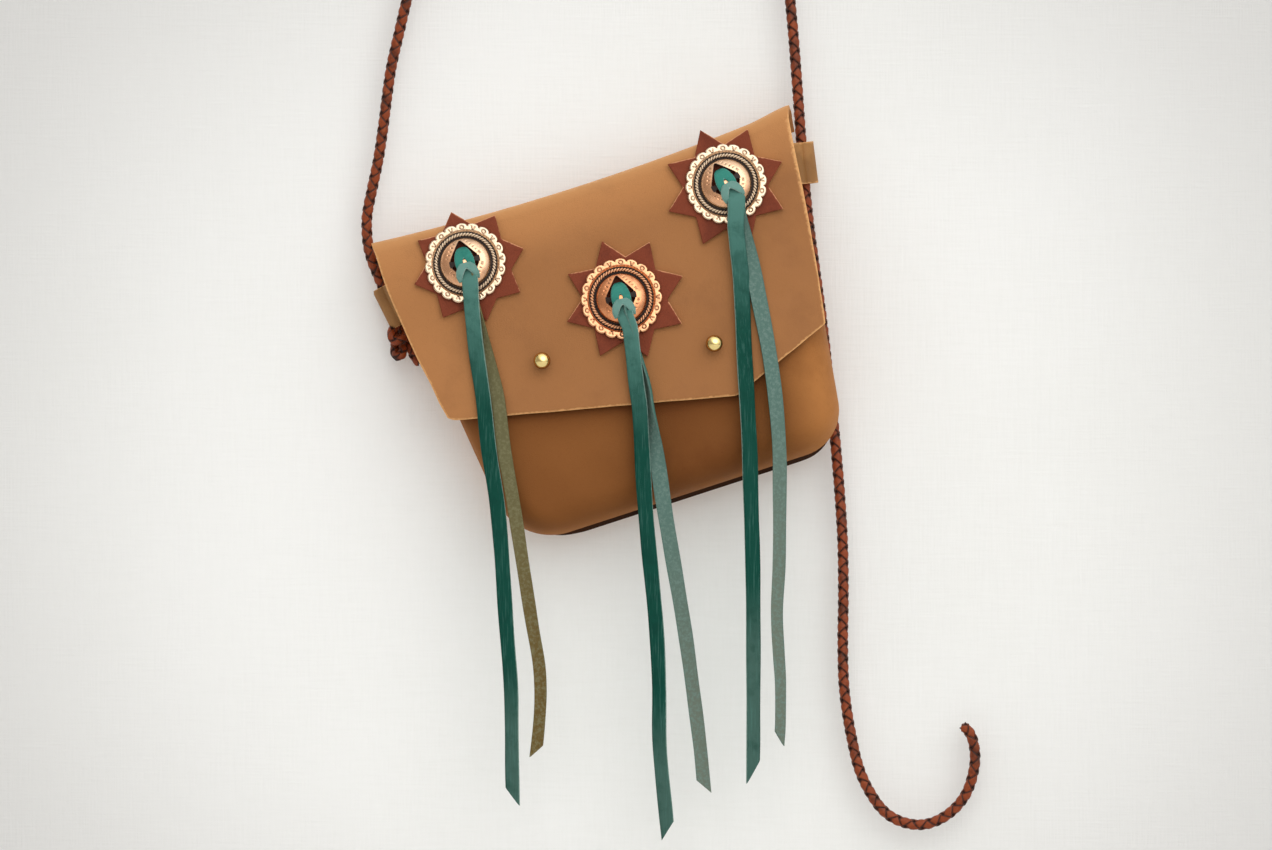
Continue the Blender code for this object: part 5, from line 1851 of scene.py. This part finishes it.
# Along the lace, half its width, and its height over the dome.
BAND = ((-3.4, 4.3, -0.9), (-2.2, 4.5, -0.35), (-1.0, 4.6, -0.1), (1.0, 4.5, -0.1), (3.4, 3.9, -0.4),
        (5.1, 3.2, -1.3), (6.5, 2.4, -2.9), (7.6, 1.6, -5.4))
COLLAR = ((-9.4, 5.0, 0.2), (-8.0, 5.4, 1.2), (-6.5, 5.5, 1.65), (-5.0, 5.2, 1.65), (-3.6, 4.6, 1.45),
          (-2.3, 3.6, 1.15), (-1.2, 2.4, 0.6))


@dataclass
class Lacing:
    """Thong threaded through a concho: a band over the bar, a collar, and two tails that hang."""

    spot: Spot
    front_route: tuple[Pair, ...]
    back_route: tuple[Pair, ...]
    front_cut: float
    back_cut: float
    width: float = 7.0
    thick: float = 1.4
    settle: float = 60.0
    base: float = 2.3
    dome: float = 5.6
    front_widths: Pair = (7.5, 6.5)
    back_widths: Pair = (7.2, 6.2)
    # Which cut edge of the tails is pale: a painted highlight on one side.
    pale: float = 1.0
    lean: float = 0.2
    closed: float = 0.5
    opens: Pair = (0.05, 0.2)
    front_lead: tuple[Pair, ...] = ((-3.0, -0.9), (-4.8, -0.6), (-6.6, -0.3), (-8.6, 0.4), (-10.6, 1.2))
    back_lead: tuple[Pair, ...] = ((-5.6, -2.0), (-8.4, -1.3))
    lead_drop: float = 5.0
    hem_drop: float = HEM[1][1]
    cup: float = 0.25
    rows: int = 44
    columns: int = 25

    def __post_init__(self) -> None:
        """Work out the height of the lace's middle where it lies on the dome."""
        self.over = self.base + self.dome + CLEAR + self.thick / 2

    def _line(self, seat: Seat, route: Sequence[Pair], lead: Sequence[Pair], lift: float) -> Array:
        """Return the line of a tail: its lead on the concho, then its fall onto the flap and below.

        Args:
            seat: Where the concho sits.
            route: The tail's points x and z in the photograph's plane.
            lead: Places up the concho, each with its height over the dome.
            lift: How far the tail's middle stands off the flap.

        Returns:
            The line's points, in metres.
        """
        points = [seat.place(0.0, y, self.over + height) / MM for y, height in lead]
        from_x, from_y, from_z = points[-1]
        from_v, from_w = Hang.to_bag(from_x, from_z)[1], Hang.CORNER[1] - from_y
        for x, z in curve_through(route, 6.0):
            u, v = Hang.to_bag(x, z)
            if v - from_v >= self.lead_drop:
                skin = FALL.outer(u, min(v, self.hem_drop)) + lift
                w = from_w + (skin - from_w) * smooth((v - from_v) / self.settle)
                points.append(Hang.place(u, v, w) / MM)
        return curve_through(points, 2.5) * MM

    def _tail(self, seat: Seat, which: str, finish: Material) -> Piece:
        """Make one tail.

        Args:
            seat: Where the concho sits.
            which: "front" or "back".
            finish: Its finish.

        Returns:
            The tail.
        """
        lift = self.thick / 2 + CLEAR
        if which == "front":
            line = self._line(seat, self.front_route, self.front_lead, lift + self.thick + 2 * CLEAR)
            (start, end), cut, face, closed = self.front_widths, self.front_cut, 1.0, 0.0
        else:
            line = self._line(seat, self.back_route, self.back_lead, lift)
            (start, end), cut, face, closed = self.back_widths, self.back_cut, -1.0, self.closed
        far = np.linspace(0.0, 1.0, len(line))
        part = smooth(far * 8.0)[:, None]
        sides = seat.right * (1.0 - part) + np.array((1.0, 0.0, 0.0)) * part
        turn = self.lean + 0.12 * np.sin(far * 9.0 + self.spot.value)
        turn = turn + closed * (1.0 - smooth((far - self.opens[0]) / (self.opens[1] - self.opens[0])))
        sides = sides * np.cos(turn)[:, None] + TOWARDS * np.sin(turn)[:, None]
        width = (start + (end - start) * far) * (1.0 + 0.02 * np.sin(far * 40.0 + face)) * MM
        piece = ribbon(f"lace_{which}_tail_{self.spot.word}", line, sides * face,
                       width * (1.06 - 0.06 * smooth(far * 18.0)), self.thick * MM, cut=cut * face * MM,
                       cup=self.cup * MM, pale=(0.5 - 0.5 * self.pale, 0.5 + 0.5 * self.pale))
        piece.data.materials.append(finish)
        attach(piece, "flap")
        length = float(walk(line)[-1])
        LOG.info("%s tail %s of %.0f mm", which, self.spot.word, length / MM)
        return piece

    def _sheet(self, seat: Seat, name: str, course: Sequence[Triple], hole: Sequence[Pair], bend: float,
               finish: Material) -> Piece:
        """Make a short stretch of thong on the concho.

        Args:
            seat: Where the concho sits.
            name: The piece's name.
            course: Places along it, each with half its width and its height over the dome.
            hole: The outline of its slit.
            bend: How much it bends over the dome.
            finish: Its finish.

        Returns:
            The piece.
        """
        ys, half, height = np.array(course).T
        rows, columns = np.linspace(ys[0], ys[-1], self.rows)[:, None], np.linspace(-1.0, 1.0, self.columns)
        wide = columns * np.interp(rows, ys, half)
        flat = np.stack(np.broadcast_arrays(wide, rows), axis=-1).reshape(-1, 2)
        flat, faces = open_holes(flat, grid_faces(self.rows, self.columns), [np.array(hole)])
        x, y = flat.T
        tall = np.interp(y, ys, self.over + height) - bend * x ** 2
        gap = np.minimum(np.interp(y, ys, half) - np.abs(x), nearest_on_line(flat, np.array(hole))[1])
        edge = share(1.0 - gap / 0.6)
        piece = closed_sheet(name, seat.place(x, y, tall + self.thick / 2 - 0.3 * edge ** 2),
                             seat.place(x, y, tall - self.thick / 2), faces,
                             {"edge": edge, "flesh": np.zeros_like(edge), "flesh_under": np.ones_like(edge)})
        piece.data.materials.append(finish)
        return piece

    def build(self, seat: Seat, front: Material, back: Material, band: Material, collar: Material) -> None:
        """Make the lace's pieces, its hanging tails among them.

        Args:
            seat: Where the concho sits.
            front: The front tail's finish.
            back: The back tail's.
            band: The band's.
            collar: The collar's.
        """
        word = self.spot.word
        for piece in (self._tail(seat, "front", front), self._tail(seat, "back", back),
                      self._sheet(seat, f"lace_band_{word}", BAND, SLIT, 0.035, band),
                      self._sheet(seat, f"lace_collar_{word}", COLLAR, NOTCH, 0.045, collar)):
            dress(piece, None, f"lace_{word}", "flap")


@dataclass
class Rosette:
    """A star, its concho and its lace."""

    star: Star
    concho: Concho
    lacing: Lacing
    seat: Seat

    def build(self, star: Material, metal: Material, laces: tuple[Material, ...]) -> None:
        """Make the three, from the flap outwards.

        Args:
            star: The star's finish.
            metal: The concho's.
            laces: Those of the lace's four pieces.
        """
        self.star.build(self.seat, star)
        self.concho.build(self.seat, metal)
        self.lacing.build(self.seat, *laces)


# Keepers


@dataclass
class Keeper:
    """Strip folded round the strap, its two ends held in the side seam."""

    side: Side
    top: Pair
    low: Pair
    tab: float
    # Painted shade of the keeper, where the flap shades it.
    shade: float
    eye: float = 2.9
    leather: float = 1.5
    forward: float = 8.0
    hold: float = 6.0
    wrap: Pair = (104.0, -124.0)
    wrap_steps: int = 26

    def _fold(self) -> Array:
        """Return the strip's line in its own plane: out from the strap, and forward."""
        radius, half = self.eye + self.leather / 2, self.leather / 2 + 0.02
        front, back = self.forward + half, self.forward - half
        loop = [(radius * math.cos(angle), radius * math.sin(angle))
                for angle in np.radians(np.linspace(*self.wrap, self.wrap_steps))]
        return curve_through([(-self.tab - self.hold, front), (-self.tab - 2.0, front),
                              (-self.tab + 0.5, front - 0.4), *loop, (-self.tab, back - 0.6),
                              (-self.tab - 2.0, back), (-self.tab - self.hold, back)], 0.5)

    def build(self, finish: Material) -> None:
        """Fold the strip.

        Args:
            finish: Its finish.
        """
        start, end = (np.array((x, 0.0, z)) for x, z in (self.top, self.low))
        down = unit(end - start)
        out = np.cross(down, TOWARDS)
        if (out[0] < 0) != (self.side is Side.LEFT):
            out = -out
        flat = self._fold()
        line = ((start + end) / 2 + out * flat[:, :1] + TOWARDS * flat[:, 1:]) * MM
        wide = np.full(len(line), np.linalg.norm(end - start) * MM)
        piece = ribbon(f"strap_keeper_{self.side.value}", line, np.broadcast_to(down, line.shape), wide,
                       self.leather * MM)
        # Painted shade, even over the whole keeper.
        shade = piece.data.attributes.new("shade", "FLOAT", "POINT")
        shade.data.foreach_set("value", np.full(len(piece.data.vertices), self.shade, np.float32))
        dress(piece, finish, f"keeper_{self.side.value}", "root")
        LOG.info("keeper %s", self.side.value)


# Studio


@dataclass(frozen=True)
class Lamp:
    """Soft round lamp."""

    name: str
    place: Triple
    size: float
    power: float
    colour: Triple

    def hang(self, aim: Triple) -> None:
        """Hang the lamp so that it points at a place.

        Args:
            aim: The place, in metres.
        """
        data = bpy.data.lights.new(self.name, "AREA")
        data.shape, data.size, data.energy, data.color = "DISK", self.size, self.power, self.colour
        lamp = link(self.name, data)
        lamp.location = self.place
        lamp.rotation_euler = (Vector(aim) - Vector(self.place)).to_track_quat("-Z", "Y").to_euler()


@dataclass
class Studio:
    """Pale linen wall and floor, soft light from the upper right, and the camera."""

    aim: Triple = (0.0112, -0.015, -0.3297)
    view_width: float = 0.591
    lens: float = 250.0
    sensor: float = 36.0
    wall_place: float = 0.010
    wall_top: float = 1.6
    floor_level: float = -0.9
    half: float = 2.5
    # Strength of the wall's painted glow near the bag.
    painted_glow: float = 0.05
    towards_window: Triple = (0.34, -0.54, 0.77)
    lamps: tuple[Lamp, ...] = (Lamp("window", (0.66, -2.1, 1.0), 3.2, 31.0, (1.0, 0.99, 0.975)),
                               Lamp("behind", (-0.6, 1.4, 0.5), 1.2, 14.0, (1.0, 1.0, 1.0)))

    def camera(self) -> None:
        """Set the camera square to the wall."""
        data = bpy.data.cameras.new("camera")
        data.lens, data.sensor_width, data.sensor_fit = self.lens, self.sensor, "HORIZONTAL"
        camera = link("camera", data)
        camera.location = (self.aim[0], self.aim[1] - self.view_width * self.lens / self.sensor, self.aim[2])
        camera.rotation_euler = (math.pi / 2, 0.0, 0.0)
        bpy.context.scene.camera = camera
        bpy.context.scene.view_settings.view_transform = "Standard"

    @staticmethod
    def _seen(net: Net, rays: bpy.types.NodeOutputs) -> Socket:
        """Return 1 for rays that show a surface, and 0 for those that only light others."""
        return net.math("MAXIMUM", rays["Is Camera Ray"],
                        net.math("MAXIMUM", rays["Is Glossy Ray"], rays["Is Transmission Ray"]))

    def _world(self) -> None:
        """Fill the room with pale light. Metal sees it white towards the window and dark away from it."""
        world = bpy.data.worlds.new("room")
        world.use_nodes = True
        bpy.context.scene.world = world
        net = Net(world.node_tree)
        ground = world.node_tree.nodes["Background"].inputs
        rays = net.add("ShaderNodeLightPath").outputs
        ahead = net.get("TexCoord", out="Generated")
        window = net.ramp(net.vector("DOT_PRODUCT", ahead, self.towards_window, "Value"), 0.25, 0.8)
        mirror = net.times(rays["Is Glossy Ray"], net.less(1.0, window))
        net.feed(ground["Color"], net.blend(mirror, (0.96, 0.96, 0.95), (0.36, 0.33, 0.3)))
        fill = net.ramp(net.get("SeparateXYZ", {0: ahead}, "Z"), -0.7, 0.9, 0.4, 0.91)
        shine = net.times(net.times(rays["Is Glossy Ray"], window), 0.2)
        net.feed(ground["Strength"], net.plus(net.math("MAXIMUM", self._seen(net, rays), fill), shine))

    def _linen(self) -> Material:
        """Return the pale cloth of the wall, which is clear from behind."""
        skin = Skin("wall_linen", (0.85, 0.84, 0.82))
        place = skin.place()
        threads = skin.plus(skin.stretched(place, (900.0, 900.0, 60.0), 2.0),
                            skin.stretched(place, (60.0, 60.0, 900.0), 2.0))
        tone = skin.ramp(skin.plus(skin.times(threads, 0.25), skin.noise(place, 4.0)), 0.5, 1.0)
        # Painted light: the cloth darkens away from the bag and glows a little near it.
        far = skin.ramp(skin.vector("DISTANCE", place, (0.01, 0.0, -0.35), "Value"), 0.16, 0.4)
        rays = skin.add("ShaderNodeLightPath").outputs
        painted_glow = skin.times(self.painted_glow, skin.less(1.0, far))
        skin.wear({"Base Color": skin.blend(far, skin.blend(tone, "ecece9", "f1f1ef"), "d6d5d3"),
                   "Roughness": 0.95, "Specular IOR Level": 0.1, "Normal": skin.bump(0.25, 0.0006, threads),
                   "Emission Color": (1.0, 0.99, 0.965),
                   "Emission Strength": skin.times(self._seen(skin, rays), painted_glow)})
        behind = skin.math("MAXIMUM", skin.get("NewGeometry", out="Backfacing"), rays["Is Shadow Ray"])
        mixed = skin.get("MixShader", {0: behind, 1: skin.shader.outputs[0], 2: skin.get("BsdfTransparent")})
        output = next(node for node in skin.tree.nodes if node.bl_idname == "ShaderNodeOutputMaterial")
        skin.feed(output.inputs["Surface"], mixed)
        return skin.material

    def build(self) -> None:
        """Make the stage, its lamps and the world."""
        linen = self._linen()
        half, level = self.half, self.floor_level
        xs = np.linspace(-half, half, 240)
        depth = self.wall_place + 0.0012 + 0.0012 * ripple(xs * 1000, xs * 0, 9, 260.0)
        points = [(x, y, z) for z in (level, self.wall_top) for x, y in zip(xs.tolist(), depth.tolist())]
        wall, floor = (link(name, bpy.data.meshes.new(name)) for name in ("wall", "floor"))
        wall.data.from_pydata(points, [], grid_faces(2, len(xs)).tolist())
        wall.data.shade_smooth()
        floor.data.from_pydata([(-half, -half, level), (half, -half, level), (half, half, level),
                                (-half, half, level)], [], [(0, 1, 2, 3)])
        for piece in (wall, floor):
            piece.data.materials.append(linen)
        for lamp in self.lamps:
            lamp.hang(self.aim)
        self._world()


# The whole bag


def rosettes() -> list[Rosette]:
    """Return the three rosettes, left to right."""
    left = Lacing(Spot.LEFT, (
        (-66.0, -262.3), (-65.3, -271.6), (-63.0, -294.8), (-59.6, -318.1), (-57.0, -341.3), (-53.3, -364.5),
        (-51.1, -387.8), (-49.0, -420.8), (-46.9, -449.1), (-46.5, -468.1), (-46.3, -487.2),
        (-46.0, -501.6)), (
        (-66.0, -263.3), (-64.1, -271.6), (-60.6, -285.6), (-56.7, -301.3), (-52.5, -318.1), (-49.7, -341.3),
        (-45.7, -364.5), (-42.1, -387.8), (-36.9, -420.8), (-33.6, -439.8), (-32.8, -454.2), (-33.5, -468.1),
        (-34.8, -480.7)), 8.6, -6.2, back_widths=(6.8, 5.6))
    middle = Lacing(Spot.MIDDLE, (
        (7.7, -279.0), (8.4, -285.6), (9.5, -294.8), (11.3, -311.6), (12.9, -323.2), (14.8, -358.5),
        (16.8, -383.6), (20.3, -420.8), (21.7, -449.1), (21.8, -472.8), (22.7, -487.2), (24.6, -506.2),
        (25.8, -517.4)), (
        (7.7, -280.0), (10.2, -290.2), (13.5, -300.4), (16.7, -311.6), (18.2, -323.2), (19.7, -333.9),
        (21.3, -345.9), (24.8, -371.0), (33.3, -420.8), (37.3, -449.1), (40.9, -477.9), (42.7, -496.9)),
        -8.2, 6.3, back_widths=(7.8, 6.2), closed=0.95, opens=(0.2, 0.36))
    right = Lacing(Spot.RIGHT, (
        (56.0, -225.2), (56.8, -230.7), (58.5, -248.4), (59.8, -259.1), (60.5, -271.6), (61.4, -294.8),
        (62.7, -318.1), (63.9, -341.3), (64.3, -360.4), (65.2, -392.4), (65.5, -420.8), (65.6, -449.1),
        (65.6, -477.9), (65.5, -490.0)), (
        (56.2, -227.0), (58.6, -232.6), (60.3, -239.1), (63.2, -249.3), (65.6, -259.1), (68.0, -271.6),
        (72.4, -294.8), (75.6, -318.1), (77.4, -341.3), (77.6, -360.4), (77.4, -392.4), (76.3, -416.1),
        (77.1, -435.2), (77.9, -449.1), (77.8, -468.1), (77.4, -474.6)), -11.0, 6.8, front_widths=(7.9, 6.4),
        back_widths=(8.1, 4.9), pale=-1.0, lean=-0.2, closed=0.45, opens=(0.06, 0.16))
    return [
        Rosette(Star(Spot.LEFT, 26.7, -4.2, (1.1, 1.3)), Concho(Spot.LEFT, 1.0), left,
                Seat(38.5, 23.1, -15.0)),
        Rosette(Star(Spot.MIDDLE, 28.8, -0.9, (1.5, 0.1)), Concho(Spot.MIDDLE, -2.0), middle,
                Seat(102.2, 61.1, -13.0)),
        Rosette(Star(Spot.RIGHT, 28.8, 1.3, (-0.6, 0.4)), Concho(Spot.RIGHT, 21.0), right,
                Seat(164.8, 25.5, -30.0))]


def main() -> None:
    """Build the bag and its stage, piece by piece."""
    logging.basicConfig(level=logging.INFO, format="%(name)s: %(message)s")
    finishes = Finishes()
    studio = Studio()
    studio.camera()
    Strap().build(finishes)
    Pouch().build(finishes)
    studs = (BallStud(Side.LEFT, 58.6, 77.8), BallStud(Side.RIGHT, 136.4, 94.6))
    Flap(studs).build(finishes)
    gold = finishes.gold.build()
    for stud in studs:
        stud.build(gold)
    russet, painted_bright_copper, copper = finishes.star.build(), finishes.painted_bright_copper.build(), finishes.copper.build()
    front, band, collar = finishes.face_lace.build(), finishes.band.build(), finishes.collar.build()
    sage, olive = finishes.back_lace.build(), finishes.olive_lace.build()
    for rosette in rosettes():
        # The side conchos take the paler copy of the copper, as painted light.
        metal = copper if rosette.concho.spot is Spot.MIDDLE else painted_bright_copper
        back = olive if rosette.concho.spot is Spot.LEFT else sage
        rosette.build(russet, metal, (front, back, band, collar))
    tan = finishes.keeper.build()
    Keeper(Side.LEFT, (-107.8, -265.6), (-98.9, -283.4), 3.6, 0.5).build(tan)
    Keeper(Side.RIGHT, (89.0, -198.0), (91.4, -217.2), 4.0, 0.15, 3.4).build(tan)
    steel = finishes.steel.build()
    for node in ("stud_screw_left", "stud_screw_right"):
        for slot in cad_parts[node].material_slots:
            slot.material = steel
    studio.build()


if __name__ == "__main__":
    main()
